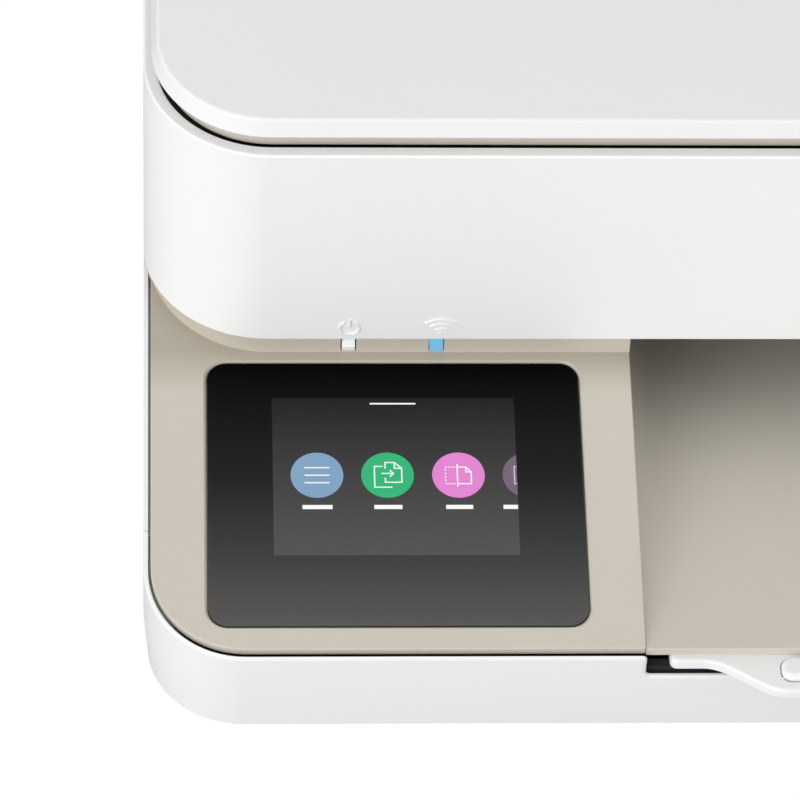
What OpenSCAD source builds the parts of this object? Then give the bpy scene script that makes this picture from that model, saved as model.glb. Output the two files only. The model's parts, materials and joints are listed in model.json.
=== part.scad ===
// Compact all-in-one inkjet printer: a low base with a sloping control deck, an output bay,
// a paper drawer whose front wraps the corners, a print mechanism, and a flatbed scanner unit
// that hinges up at the back, with its own lid.
// Millimetres. X runs to the right seen from the front, Y to the back, Z up.
// The origin is under the middle of the printer, on the surface it stands on.

/* [Body] */
// Width of the whole printer
body_w = 432; // [430:1:434]
// Depth from the drawer's front face to the back
body_d = 361; // [360:0.1:362]
// How far the output extender's grip stands out of the front
grip_out = 7.8; // [7:0.1:8]
// Outside corner radius of the base, seen from above
base_r = 20; // [19:0.5:21]
// Outside corner radius of the scanner unit, seen from above
upper_r = 25; // [24:0.5:26]

/* [Heights] */
// Height of the rubber feet
foot_h = 4; // [3.5:0.5:4.5]
// Lower edge of the white band round the base
band_z0 = 24; // [23:0.5:24]
// Height of the deck's front edge
deck_z = 46; // [46:0.1:46.5]
// Slope of the control deck, in degrees
deck_slope = 8.6; // [8:0.1:9]
// Depth of the deck in front of the scanner unit
deck_run = 68.1; // [67:0.1:69]
// Height of the strip between the deck and the scanner unit
strip_h = 4.5; // [4.2:0.1:4.8]
// Height of the scanner unit's shell
shell_h = 54; // [54:0.1:55]
// Thickness of the lid
lid_t = 4.3; // [4.2:0.1:4.6]

/* [Output bay] */
// Half the width of the output bay
bay_x = 117.4; // [117:0.1:118]
// Slope of the bay's floor, down towards the back, in degrees
bay_slope = 6; // [5.8:0.1:6.2]

/* [Touch screen] */
// Width of the glass
glass_w = 75; // [74:0.5:76]
// Length of the glass along the slope
glass_l = 60.8; // [60:0.1:61]
// Left edge of the glass, in from the printer's side
glass_in = 12.8; // [12:0.1:13]
// Front edge of the glass, back from the deck's front edge
glass_up = 6; // [5.8:0.1:6.2]

/* [Gears] */
// Module of the feed gears
gear_m = 0.8; // [0.8:0.1:0.8]
// Teeth on the feed roller's gear
feed_n = 40; // [40:1:40]
// Teeth on the idler gear
idler_n = 38; // [38:1:38]
// Teeth on the output roller's gear
output_n = 33; // [33:1:33]
// Teeth on the feed motor's pinion
pinion_n = 16; // [16:1:16]

/* [Hidden] */
$fn = 48;
hull_fn = 32;

x_out = body_w / 2;
y_back = (body_d + grip_out) / 2;
y_front = y_back - body_d;
deck_y = y_front + 1.1;
upper_y = deck_y + deck_run;
shell_z0 = deck_z + deck_run * tan(deck_slope) + strip_h;
shell_z1 = shell_z0 + shell_h;
bezel_z1 = shell_z1 + 2.4;
lid_z0 = bezel_z1 + 0.8;
lid_z1 = lid_z0 + lid_t;

floor_z = foot_h + 2.5;  // top of the base pan's floor
wall = 2.2;            // base wall
shell_wall = 2.6;      // scanner unit's wall
seam = 0.5;            // gap round the deck
side_seam_y = y_front + 29;
deck_in = 1.43;        // the deck's edge, in from the outside
deck_t = 2.2;
floor_t = 1.6;
base_rim_drop = 0.7;   // the white rim sits this far under the deck's surface
rear_y = y_back - 30;          // the base rises behind this line
rear_z = shell_z0 + 16;
rear_back_z = rear_z - 3.6;

access_y = y_back - 7.5;  // hinge line of the scanner unit
access_z = shell_z0 + 21;
lid_axis_y = y_back - 3.9;
lid_axis_z = lid_z0 + lid_t / 2;

feed_y = 46;
feed_z = 34.5;
feed_r = 6;
output_r = 5;
idler_y = feed_y - gear_m * (feed_n + idler_n) / 2;
output_y = idler_y - gear_m * (idler_n + output_n) / 2;
output_z = feed_z;
pinion_dist = gear_m * (feed_n + pinion_n) / 2;
pinion_angle = 75;
pinion_y = feed_y + pinion_dist * cos(pinion_angle);
pinion_z = feed_z + pinion_dist * sin(pinion_angle);
gear_x = -156;
gear_t = 4;
rod_y = 60;
rod_z = 70;
rod_r = 4;
plate_y = 73;
belt_y = 69;
belt_z = 60;
pulley_r = 6;
pulley_x = 180;
park_x = 152;
carriage_w = 84;
turn_y = 146;
turn_z = 40;
turn_r = 20;
turn_shaft_r = 3.5;
arm_y = 84;
arm_z = 42;
pick_y = 106;
pick_z = 24.5;
pick_r = 9;
drawer_x = 124;
drawer_y1 = 139;
drawer_z0 = 12;
port_z = 29;
inlet_x = -164;
usb_x = 146.5;
button_x = 163;
button_z = 50;
board_screw_x = [140, 186];
side_x = 189.75;
sheet = 1.5;
feed_shaft_r = 3;
output_shaft_r = 2.5;
idler_pin_r = 2;
pinch_r = 1.8;
pinch_shaft_r = 1;
star_r = 3.5;
star_shaft_r = 0.9;
arm_pin_r = 1.5;
hinge_x = 180;
run_gap = 0.05;        // radial clearance of shafts in bores

WHITE = [0.93, 0.93, 0.93];
SAND = [0.78, 0.76, 0.70];
BLACK = [0.06, 0.06, 0.065];
DARK = [0.20, 0.20, 0.21];
GREY = [0.55, 0.56, 0.57];
STEEL = [0.70, 0.71, 0.72];
RUBBER = [0.12, 0.12, 0.12];
GREEN = [0.07, 0.30, 0.16];
GEAR = [0.90, 0.88, 0.80];

// ---- shared shapes ----

// Rectangle from (x0, y0) to (x1, y1) with front corners of radius rf and back corners of rb
module round_rect(x0, x1, y0, y1, rf, rb) {
    translate([x0 + rf, y0]) square([x1 - x0 - 2 * rf, y1 - y0 - rb]);
    translate([x0 + rb, y0 + rf]) square([x1 - x0 - 2 * rb, y1 - y0 - rf]);
    translate([x0, y0 + rf]) square([x1 - x0, y1 - y0 - rf - rb]);
    for (x = [x0 + rf, x1 - rf]) translate([x, y0 + rf]) circle(rf);
    for (x = [x0 + rb, x1 - rb]) translate([x, y1 - rb]) circle(rb);
}

// The base's outline, moved in by inset
module base_plan(inset) {
    round_rect(-x_out + inset, x_out - inset, y_front + inset, y_back - inset,
        base_r - inset, upper_r - inset);
}

// The scanner unit's outline, moved in by inset
module upper_plan(inset) {
    round_rect(-x_out + inset, x_out - inset, upper_y + inset, y_back - inset,
        upper_r - inset, upper_r - inset);
}

module slab(z0, z1) translate([0, 0, z0]) linear_extrude(z1 - z0) children();

module block(x0, x1, y0, y1, z0, z1) translate([x0, y0, z0]) cube([x1 - x0, y1 - y0, z1 - z0]);

// Cylinder along X between x0 and x1
module rod_x(x0, x1, y, z, r) translate([x0, y, z]) rotate([0, 90, 0]) cylinder(h = x1 - x0, r = r);

// Cylinder along Y between y0 and y1
module rod_y_dir(x, y0, y1, z, r) translate([x, y1, z]) rotate([90, 0, 0]) cylinder(h = y1 - y0, r = r);

// Children drawn in the deck's own plane: X across, Y up the slope, Z out of the surface
module on_deck() translate([0, deck_y, deck_z]) rotate([deck_slope, 0, 0]) children();

// Children drawn in the plane of the output bay's floor
module on_floor() translate([0, deck_y, deck_z]) rotate([-bay_slope, 0, 0]) children();

// Tooth outline of an involute gear, as points
function involute_deg(r, rb) = let (a = acos(min(1, rb / r))) tan(a) * 180 / PI - a;
function half_tooth(r, n, m, backlash) =
    let (rp = m * n / 2, rb = rp * cos(20))
    (PI * m / 2 - backlash) / (2 * rp) * 180 / PI + involute_deg(rp, rb) - involute_deg(max(r, rb), rb);
function tooth_points(i, n, m, backlash) =
    let (rp = m * n / 2, tip = rp + 0.9 * m, root = rp - 1.2 * m, base = rp * cos(20),
        radii = concat(base > root + 0.1 ? [root, base] : [root], [rp, (rp + tip) / 2, tip]),
        last = len(radii) - 1, c = i * 360 / n)
    [
        for (s = [-1, 1], k = [0:last])
            let (r = radii[s < 0 ? k : last - k], a = c + s * half_tooth(max(r, base), n, m, backlash))
            [r * cos(a), r * sin(a)]
    ];
module gear_2d(n, m, backlash = 0.16)
    polygon([for (i = [0:n - 1]) each tooth_points(i, n, m, backlash)]);

// A gear in the YZ plane on the X line through (y, z), with its first tooth at angle phase
module gear_x_dir(x0, y, z, n, t, phase, bore, hub = 0)
    translate([x0, y, z]) rotate([90, 0, 90]) rotate(phase) difference() {
        union() {
            linear_extrude(t) gear_2d(n, gear_m);
            if (hub > 0) cylinder(h = t + 3, r = hub);
        }
        if (bore > 0) translate([0, 0, -1]) cylinder(h = t + 6, r = bore);
    }

// Share of a tooth pitch by which direction theta lies past the nearest tooth
function tooth_share(theta, phase, n) = let (p = 360 / n, d = (theta - phase) / p) d - floor(d);
// Phase of a gear of n2 teeth that meshes with a gear of n1 teeth seen in direction theta
function mesh_phase(theta, phase1, n1, n2) =
    theta + 180 - (0.5 - tooth_share(theta, phase1, n1)) * 360 / n2;

idler_phase = mesh_phase(180, 0, feed_n, idler_n);
output_phase = mesh_phase(180, idler_phase, idler_n, output_n);
pinion_phase = mesh_phase(pinion_angle, 0, feed_n, pinion_n);

// ---- base: casings ----

module base_pan() color(DARK) difference() {
    hull() {
        slab(foot_h, foot_h + 0.2) base_plan(22, $fn = hull_fn);
        slab(band_z0 - 0.6, band_z0 - 0.4) base_plan(wall + 0.6, $fn = hull_fn);
    }
    hull() {
        slab(floor_z, floor_z + 0.2) base_plan(24.5, $fn = hull_fn);
        slab(band_z0, band_z0 + 0.2) base_plan(wall + 2.6, $fn = hull_fn);
    }
    // way out for the drawer
    block(-drawer_x - 2, drawer_x + 2, y_front - 5, y_front + 40, drawer_z0 - 2, band_z0 + 1);
}

// Level of the white rim's top beside the sloping deck, as a cutting solid
module above_rim() on_deck() translate([-x_out - 5, -20, -base_rim_drop]) cube([body_w + 10, 160, 60]);

module rear_panel_openings() {
    block(inlet_x - 12, inlet_x + 12, y_back - 5, y_back + 1, port_z - 0.4, port_z + 12.6);
    block(usb_x - 6.5, usb_x + 6.5, y_back - 5, y_back + 1, port_z - 0.4, port_z + 11.6);
    rod_y_dir(button_x, y_back - 5, y_back + 1, button_z, 5.3);
    for (i = [0:11]) block(-120 + i * 7, -117 + i * 7, y_back - 5, y_back + 1, 34, 58);
}

module base_shell() color(WHITE) {
    difference() {
        slab(band_z0, rear_z) difference() {
            base_plan(0);
            base_plan(wall);
        }
        block(-x_out - 1, x_out + 1, y_front - 1, side_seam_y, 0, 200);
        block(-x_out - 1, x_out + 1, side_seam_y - 1, rear_y, shell_z0 - 0.5, 200);
        block(-x_out - 1, x_out + 1, access_y - 3, y_back + 1, rear_back_z, 200);
        above_rim_front();
        deck_clearance();
        rear_panel_openings();
    }
    // ledge that closes the groove under the scanner unit's back
    difference() {
        block(-190, 190, access_y - 10, y_back - wall + 0.5, rear_back_z - sheet, rear_back_z);
        for (s = [-1, 1]) block(s * hinge_x - 3, s * hinge_x + 3, access_y - 5, access_y, 0, 100);
    }
}

// The rim's sloping cut, only in front of where the slope meets the scanner unit
module above_rim_front() intersection() {
    above_rim();
    block(-x_out - 5, x_out + 5, y_front - 10, -60, 0, shell_z0 + 5);
}

// Room for the deck's slab inside the white rim
module deck_clearance() intersection() {
    on_deck() translate([0, 0, -deck_t - 0.5]) linear_extrude(20)
        round_rect(-x_out + deck_in - seam, x_out - deck_in + seam, -seam, 130,
            base_r - deck_in + seam, 1);
    block(-x_out, x_out, y_front - 10, -60, 0, shell_z0 + 5);
}

// ---- base: sand-coloured deck with the output bay ----

deck_len = (upper_y + upper_r - 2 - deck_y) / cos(deck_slope);

module deck_slab() on_deck() translate([0, 0, -deck_t]) linear_extrude(deck_t)
    round_rect(-x_out + deck_in, x_out - deck_in, 0, deck_len, base_r - deck_in, 1);

module strip_wall() slab(deck_z + 4, shell_z0 - 0.4) intersection() {
    difference() {
        upper_plan(0.6);
        upper_plan(2.8);
    }
    translate([-x_out, upper_y - 1]) square([body_w, upper_r - 7]);
}

module glass_outline(grow) {
    x0 = -x_out + glass_in - grow;
    y0 = glass_up - grow;
    round_rect(x0, x0 + glass_w + 2 * grow, y0, y0 + glass_l + 2 * grow, 5 + grow, 5 + grow);
}

light_w = 2.6;
power_light_x = -174.6;
wireless_light_x = -156.8;
bay_y1 = -45;
bay_wall_y1 = -62;
bay_len = (bay_y1 - deck_y) / cos(bay_slope);

module front_deck() color(SAND) {
    difference() {
        union() {
            deck_slab();
            strip_wall();
            bay_walls();
        }
        // the bay's hollow, above its floor
        on_floor() translate([-bay_x, 2.2, 0]) cube([2 * bay_x, bay_len + 20, 60]);
        // room for the extender under the front lip
        on_floor() translate([-bay_x + 3, -3, -10]) cube([2 * bay_x - 6, 12, 10 - floor_t]);
        // the glass's pocket and the display's window
        on_deck() {
            translate([0, 0, -1.3]) linear_extrude(5) glass_outline(0.3);
            translate([-x_out + glass_in + 6, glass_up + 11, -5]) cube([glass_w - 12, glass_l - 15, 10]);
        }
        for (x = [power_light_x, wireless_light_x]) {
            block(x - light_w / 2, x + light_w / 2, upper_y - 1, upper_y + 4, 56.6, shell_z0);
            block(x - 3.3, x + 3.3, upper_y + 2.9, upper_y + 6.3, 46, shell_z0);
        }
    }
}

module bay_walls() {
    // floor
    on_floor() translate([-bay_x - 2.5, 0, -floor_t]) cube([2 * bay_x + 5, bay_len, floor_t]);
    // side walls, from the floor to the deck and on under the scanner unit
    for (x = [-bay_x - 2, bay_x]) difference() {
        union() {
            difference() {
                block(x, x + 2, deck_y + 6, upper_y + 1, 20, 90);
                on_deck() translate([-x_out, -10, -0.8]) cube([body_w, 200, 60]);
            }
            block(x, x + 2, upper_y, bay_wall_y1, 20, shell_z0 - 0.5);
        }
        on_floor() translate([-x_out, -10, -60]) cube([body_w, 240, 60 - floor_t]);
    }
}

// ---- base: touch screen and lights ----

module touch_glass() color(BLACK) on_deck() translate([0, 0, -1.25]) linear_extrude(1.15) glass_outline(0);

module display_module() color(DARK) on_deck()
    translate([-x_out + glass_in + 8, glass_up + 13, -4.6]) cube([glass_w - 17, glass_l - 19, 3.3]);

module control_board() color(GREEN) on_deck() {
    translate([-x_out + glass_in + 4, glass_up + 4, -7.4]) cube([glass_w - 8, glass_l - 8, 1.6]);
    for (i = [0:2]) translate([-x_out + glass_in + 12 + i * 18, glass_up + 14, -9]) cube([10, 10, 1.7]);
    translate([-x_out + glass_in + 20, glass_up + 38, -10]) cube([30, 6, 2.7]);
}

module light_pipe(x) {
    block(x - light_w / 2 + 0.05, x + light_w / 2 - 0.05, upper_y + 0.4, upper_y + 3.2, 57, shell_z0 - 0.45);
    block(x - 3, x + 3, upper_y + 3.2, upper_y + 5, 57, shell_z0 - 0.45);
    block(x - 1, x + 1, upper_y + 4, upper_y + 6, 48, 58);
}
module indicator_lights() color([0.55, 0.85, 0.95])
    for (x = [power_light_x, wireless_light_x]) light_pipe(x);

// ---- base: inside ----

foot_x = 168;
module rubber_feet() color(RUBBER) for (x = [-foot_x, foot_x], y = [-125, 135])
    translate([x, y, 0]) cylinder(h = foot_h, r = 8);

module main_frame() color(STEEL) {
    difference() {
        union() {
            block(-side_x, side_x, plate_y, plate_y + sheet, 32, 86);
            block(-side_x, side_x, plate_y - 10, plate_y + sheet, 86 - sheet, 86);
            for (s = [-1, 1]) {
                block(s * side_x - sheet / 2, s * side_x + sheet / 2, -20, plate_y + sheet, 10, 86);
                block(s * (side_x - 5) - 5, s * (side_x - 5) + 5, 50, plate_y + sheet, 10, 10 + sheet);
                block(s * (side_x - 5) - 5, s * (side_x - 5) + 5, plate_y, plate_y + sheet, floor_z, 33);
            }
            // plate that carries the feed gears
            block(-166, -166 + sheet, 2, plate_y + 1, 20, 66);
            block(-189, -165, plate_y - 6, plate_y + 1, 20, 20 + sheet);
        }
        rod_x(-200, 200, rod_y, rod_z, rod_r + 0.02);
        // window for the paper
        block(-113, 113, plate_y - 1, plate_y + 3, 31, 51);
        rod_x(-200, 200, feed_y, feed_z, feed_shaft_r + run_gap);
        rod_x(-200, 200, output_y, output_z, output_shaft_r + run_gap);
        rod_x(-170, -160, pinion_y, pinion_z, 2.5);
        // room for the belt beside the gear plate
        block(-170, -160, belt_y - 4, plate_y - 0.1, 50, 70);
        for (x = [-pulley_x, pulley_x]) rod_y_dir(x, plate_y - 1, plate_y + 3, belt_z, 1.8);
    }
    // fixed pin of the idler gear
    rod_x(-165, -150, idler_y, feed_z, idler_pin_r);
    // ears of the pinch rollers
    for (s = [-1, 1]) difference() {
        block(s * 114.5 - 1, s * 114.5 + 1, feed_y - 2.5, plate_y + 1, pinch_z - 2.4, pinch_z + 2.6);
        rod_x(s * 114.5 - 2, s * 114.5 + 2, feed_y, pinch_z, pinch_shaft_r + run_gap);
    }
    // ears and pin of the pick arm
    for (x = [-30, 28]) block(x, x + 2, plate_y, arm_y + 4, 38, 56);
    rod_x(-29, 29, arm_y, arm_z, arm_pin_r);
}

module carriage_rod() color([0.75, 0.76, 0.78]) rod_x(-193, 193, rod_y, rod_z, rod_r);

module encoder_strip() color([0.80, 0.82, 0.84]) block(-188, 188, 66.5, 66.9, 76.5, 82.5);

module platen() color(BLACK) difference() {
    union() {
        block(-120, 110, -7, 39, 33.5, 37.5);
        for (i = [0:18]) block(-110 + i * 12, -108.5 + i * 12, -6, 38, 37, 39);
        for (x = [-118, 106]) block(x, x + 4, 8, 30, 29, 34);
        // side arms that hold the star wheels
        for (x = [-120, 107]) {
            block(x, x + 3, -18, 0, 30, 42.3);
            block(x, x + 3, -18, -8, 42, 46);
        }
    }
    rod_x(-130, 130, output_y, output_z, output_shaft_r + 0.4);
    rod_x(-130, 130, output_y, star_z, star_shaft_r + run_gap);
}

module service_station() color(DARK) difference() {
    union() {
        difference() {
            block(128, 186, -6, 42, floor_z, 36);
            block(130, 184, -4, 40, floor_z + 2, 40);
        }
        // caps for the two print heads, their shelf and the wiper
        block(113, 185, 5, 33, 28, 30);
        for (x = [color_x + 8, black_x + 8]) block(x - 1, x + 16, 6, 32, 29, 40);
        block(114, 116.4, 5, 33, 29, 40.3);
    }
    for (x = [color_x + 8, black_x + 8]) block(x + 0.5, x + 14.5, 7.5, 30.5, 37.5, 41);
}

board_z = port_z - 1.6;
module main_board() color(GREEN) {
    block(134, 200, 88, 174, board_z, port_z);
    block(146, 166, 104, 124, port_z, port_z + 2);
    block(176, 188, 100, 112, port_z, port_z + 1.6);
    block(150, 190, 134, 140, port_z, port_z + 6);
    for (x = board_screw_x, y = [93, 150]) translate([x, y, floor_z]) cylinder(h = board_z - floor_z, r = 2.5);
}

module power_supply() color(DARK) difference() {
    block(-190, -136, 86, 156, floor_z, 46);
    for (i = [0:7]) block(-186 + i * 6, -183 + i * 6, 95, 140, 44, 48);
}

module power_inlet() color(BLACK) {
    difference() {
        block(inlet_x - 11.5, inlet_x + 11.5, 156, y_back - 0.3, port_z, port_z + 12.2);
        block(inlet_x - 8.5, inlet_x + 8.5, 168, y_back + 1, port_z + 2, port_z + 10.2);
    }
    for (x = [-4.3, 4.3]) rod_y_dir(inlet_x + x, 167, y_back - 2, port_z + 6.1, 1.2);
}

module usb_port() color(STEEL) {
    difference() {
        block(usb_x - 6, usb_x + 6, 164, y_back - 0.3, port_z, port_z + 11.2);
        block(usb_x - 4.3, usb_x + 4.3, 168, y_back + 1, port_z + 1.6, port_z + 9.6);
    }
    block(usb_x - 2.8, usb_x + 2.8, 167, y_back - 2.4, port_z + 4.2, port_z + 7.4);
}

module turn_guide() color(DARK) {
    intersection() {
        difference() {
            rod_x(-114, 114, turn_y, turn_z, turn_r + 3.4);
            rod_x(-115, 115, turn_y, turn_z, turn_r + 1.6);
        }
        block(-130, 130, turn_y + 1, y_back, floor_z, 66);
    }
    for (x = [-112, -40, 38, 110]) difference() {
        block(x, x + 2, turn_y + 4, y_back - wall, band_z0 + 1, 62);
        rod_x(x - 1, x + 3, turn_y, turn_z, turn_r + 2.5);
    }
    // cheeks that carry the turn roller
    for (s = [-1, 1]) difference() {
        block(s * 115 - 1.5, s * 115 + 1.5, turn_y - 5, y_back - wall, band_z0 + 1, 62);
        rod_x(s * 115 - 2, s * 115 + 2, turn_y, turn_z, turn_shaft_r + run_gap);
    }
}

module access_hinge_pins() color(STEEL) for (s = [-1, 1]) {
    rod_x(s * hinge_x - 7, s * hinge_x + 7, access_y, access_z, 3);
    // knuckle and leg, between the scanner unit's ears
    rod_x(s * hinge_x - 2.5, s * hinge_x + 2.5, access_y, access_z, 4.3);
    block(s * hinge_x - 2.5, s * hinge_x + 2.5, access_y - 4, access_y - 0.5, rear_back_z - 22, access_z - 1);
    block(s * hinge_x - 5, s * hinge_x + 5, access_y - 4, y_back - wall, rear_back_z - 24, rear_back_z - 20);
}

module carriage_motor() color(STEEL) {
    rod_y_dir(-pulley_x, plate_y + 1.6, plate_y + 30, belt_z, 11);
    rod_y_dir(-pulley_x, plate_y + 29, plate_y + 33, belt_z, 4);
}

module feed_motor() color(STEEL) {
    rod_x(-187, -166, pinion_y, pinion_z, 9.5);
    rod_x(-166.1, -164.5, pinion_y, pinion_z, 2.3);
}

belt_t = 1;
module belt_run(r) {
    for (x = [-pulley_x, pulley_x]) rod_y_dir(x, belt_y - 1.5, belt_y + 1.5, belt_z, r);
    block(-pulley_x, pulley_x, belt_y - 1.5, belt_y + 1.5, belt_z - r, belt_z + r);
}
module carriage_belt() color(RUBBER) difference() {
    belt_run(pulley_r + belt_t + 0.1);
    for (x = [-pulley_x, pulley_x]) rod_y_dir(x, belt_y - 3, belt_y + 3, belt_z, pulley_r + 0.1);
    block(-pulley_x, pulley_x, belt_y - 3, belt_y + 3, belt_z - pulley_r - 0.1, belt_z + pulley_r + 0.1);
}

module screw(x, y, z) translate([x, y, z]) {
    difference() {
        cylinder(h = 1.6, r = 3);
        translate([-2.2, -0.4, 0.8]) cube([4.4, 0.8, 2]);
        translate([-0.4, -2.2, 0.8]) cube([0.8, 4.4, 2]);
    }
}
module chassis_screws() color(STEEL) {
    for (x = [-184, 184], y = [56, 66]) screw(x, y, 10 + sheet);
    for (x = board_screw_x, y = [93, 150]) screw(x, y, port_z);
}

module pulley(x) {
    difference() {
        union() {
            rod_y_dir(x, belt_y - 1.8, belt_y + 1.8, belt_z, pulley_r);
            for (y = [belt_y - 2.6, belt_y + 1.8]) rod_y_dir(x, y, y + 0.8, belt_z, pulley_r + 1.9);
        }
        rod_y_dir(x + 3.6, belt_y - 3, belt_y + 3, belt_z, 1);
        rod_y_dir(x - 3.6, belt_y - 3, belt_y + 3, belt_z, 1);
    }
    rod_y_dir(x, belt_y - 2.8, plate_y + sheet, belt_z, 1.5);
}
module motor_pulley() color(STEEL) pulley(-pulley_x);
module idler_pulley() color(GREY) pulley(pulley_x);

// ---- print carriage ----

carriage_x0 = park_x - carriage_w / 2;
carriage_x1 = park_x + carriage_w / 2 - 8;
cartridge_w = 31;
color_x = carriage_x0 + 4;
black_x = color_x + cartridge_w + 4;

module print_carriage() color(DARK) {
    difference() {
        union() {
            block(carriage_x0, carriage_x1, -6, 42.6, 44.5, 76);
            block(carriage_x0, carriage_x1, 42, 65.4, 49, 84);
            for (x = [color_x + 6, black_x + 6]) block(x, x + 19, 4, 34, 41.8, 45);
        }
        for (x = [color_x, black_x]) {
            block(x, x + cartridge_w, -10, 41, 46, 90);
            block(x + 8, x + 23, 6, 32, 40, 50);
        }
        rod_x(carriage_x0 - 1, carriage_x1 + 1, rod_y, rod_z, rod_r + run_gap);
        block(carriage_x0 - 1, carriage_x1 + 1, 54, 67, 48, 60);
    }
    // ears and pins of the cartridge latches
    for (x = [color_x, black_x]) {
        for (e = [x - 2.5, x + cartridge_w]) block(e, e + 2.5, latch_y - 3, -5.5, latch_z - 3, latch_z + 3);
        rod_x(x - 1, x + 5, latch_y, latch_z, 1);
        rod_x(x + cartridge_w - 5, x + cartridge_w + 1, latch_y, latch_z, 1);
    }
}

module cartridge(x, label_gap) difference() {
    union() {
        block(x + 0.4, x + cartridge_w - 0.4, -4.5, 40.7, 46.2, 80);
        block(x + 2, x + cartridge_w - 2, -2, 36, 79, 82);
        block(x + 9, x + 22, 8, 30, 41.4, 47);
    }
    block(x + 6, x + cartridge_w - 6, -6, -3.9, 62, 78);
    block(x - 1, x + label_gap, -8, 8, 46, 54);
}
module color_cartridge() color(BLACK) cartridge(color_x, 4);
module black_cartridge() color(BLACK) cartridge(black_x, 2.5);

latch_y = -9;
latch_z = 50;
module latch(x) difference() {
    union() {
        block(x + 2, x + cartridge_w - 2, latch_y - 1.5, latch_y + 1, latch_z, 79);
        rod_x(x + 1, x + cartridge_w - 1, latch_y, latch_z, 2);
        block(x + 8, x + cartridge_w - 8, latch_y - 4, latch_y, 75, 78);
    }
    block(x + 9, x + cartridge_w - 9, latch_y - 3, latch_y + 3, 58, 68);
    rod_x(x, x + 5.5, latch_y, latch_z, 1 + run_gap);
    rod_x(x + cartridge_w - 5.5, x + cartridge_w, latch_y, latch_z, 1 + run_gap);
}
module left_latch() color([0.25, 0.45, 0.70]) latch(color_x);
module right_latch() color(GREY) latch(black_x);

// ---- paper feed ----

module feed_roller() color(RUBBER) {
    rod_x(-193, 193, feed_y, feed_z, feed_shaft_r);
    for (x = [-112, -56, 6, 62]) rod_x(x, x + 50, feed_y, feed_z, feed_r);
}
module feed_gear() color(GEAR) gear_x_dir(gear_x, feed_y, feed_z, feed_n, gear_t, 0, feed_shaft_r, 6);
module idler_gear() color(GEAR)
    gear_x_dir(gear_x, idler_y, feed_z, idler_n, gear_t, idler_phase, idler_pin_r + run_gap, 4);
module output_roller() color(RUBBER) {
    rod_x(-193, 193, output_y, output_z, output_shaft_r);
    for (x = [-100, -60, -20, 20, 60]) rod_x(x, x + 36, output_y, output_z, output_r);
}
module output_gear() color(GEAR)
    gear_x_dir(gear_x, output_y, output_z, output_n, gear_t, output_phase, output_shaft_r, 5);
module motor_pinion() color([0.82, 0.70, 0.40]) {
    gear_x_dir(gear_x, pinion_y, pinion_z, pinion_n, gear_t, pinion_phase, 0);
    rod_x(-164.4, gear_x + 0.1, pinion_y, pinion_z, 1.5);
}
pinch_z = feed_z + feed_r + pinch_r + 0.3;
module pinch_roller() color(GREY) {
    rod_x(-116, 116, feed_y, pinch_z, pinch_shaft_r);
    for (x = [-106, -50, 12, 68]) rod_x(x, x + 38, feed_y, pinch_z, pinch_r);
}
star_z = output_z + output_r + star_r + 0.3;
module star_wheels() color(STEEL) {
    rod_x(-121, 111, output_y, star_z, star_shaft_r);
    for (i = [0:8]) translate([-94.5 + i * 23, output_y, star_z]) rotate([90, 0, 90])
        linear_extrude(1) polygon([
            for (k = [0:23]) let (r = k % 2 == 0 ? star_r : star_r - 0.9) [r * cos(k * 15), r * sin(k * 15)]
        ]);
}

module turn_roller() color(RUBBER) {
    rod_x(-117, 117, turn_y, turn_z, turn_shaft_r);
    for (i = [-2:2]) rod_x(i * 44 - 11, i * 44 + 11, turn_y, turn_z, turn_r);
}

module pick_arm() color(DARK) difference() {
    union() {
        rod_x(-26, 26, arm_y, arm_z, 3.5);
        rod_x(-4, 4, pick_y, pick_z, 4.5);
        hull() {
            rod_x(-3.5, 3.5, arm_y, arm_z, 3.5, $fn = hull_fn);
            rod_x(-3.5, 3.5, pick_y, pick_z, 4.4, $fn = hull_fn);
        }
    }
    rod_x(-30, 30, pick_y, pick_z, 2 + run_gap);
    rod_x(-30, 30, arm_y, arm_z, arm_pin_r + run_gap);
}
module pick_roller() color(RUBBER) {
    rod_x(-22, 22, pick_y, pick_z, 2);
    for (x = [-21, 4.5]) rod_x(x, x + 16.5, pick_y, pick_z, pick_r);
}

// ---- scanner unit ----

pan_z = shell_z0 + 27;
module scanner_shell() color(WHITE) {
    difference() {
        slab(shell_z0, shell_z1) difference() {
            upper_plan(0);
            upper_plan(shell_wall);
        }
        block(-x_out - 1, x_out + 1, rear_y - 1, y_back + 1, 0, rear_z + 1);
        for (s = [-1, 1]) block(s * 130 - 5.5, s * 130 + 5.5, y_back - 4, y_back - 2, 100, 130);
    }
    for (s = [-1, 1], e = [-5, 4.5]) ear(s * hinge_x + e);
}
module ear(x) difference() {
    union() {
        rod_x(x - 1.8, x + 1.8, access_y, access_z, 4.6);
        block(x - 1.8, x + 1.8, access_y - 4.6, y_back - 2, access_z, pan_z);
    }
    rod_x(x - 3, x + 3, access_y, access_z, 3 + run_gap);
}

module scanner_pan() color(DARK) {
    difference() {
        slab(pan_z, shell_z1 - 2.5) upper_plan(shell_wall + 0.1);
        slab(pan_z + 2, shell_z1) upper_plan(shell_wall + 2.6);
        block(-136, -124, y_back - 6.2, y_back, pan_z + 2, 130);
        block(124, 136, y_back - 6.2, y_back, pan_z + 2, 130);
    }
    for (x = [-190, 186]) difference() {
        block(x, x + 4, scan_y - 8, scan_y + 8, pan_z + 1, scan_z + 5);
        rod_x(x - 1, x + 5, scan_y, scan_z, 3.02);
    }
}

scan_y = 38;
scan_z = pan_z + 8;
glass_x = 153;
glass_y0 = scan_y - 112;
glass_y1 = scan_y + 112;
bezel_in = 4;

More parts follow.
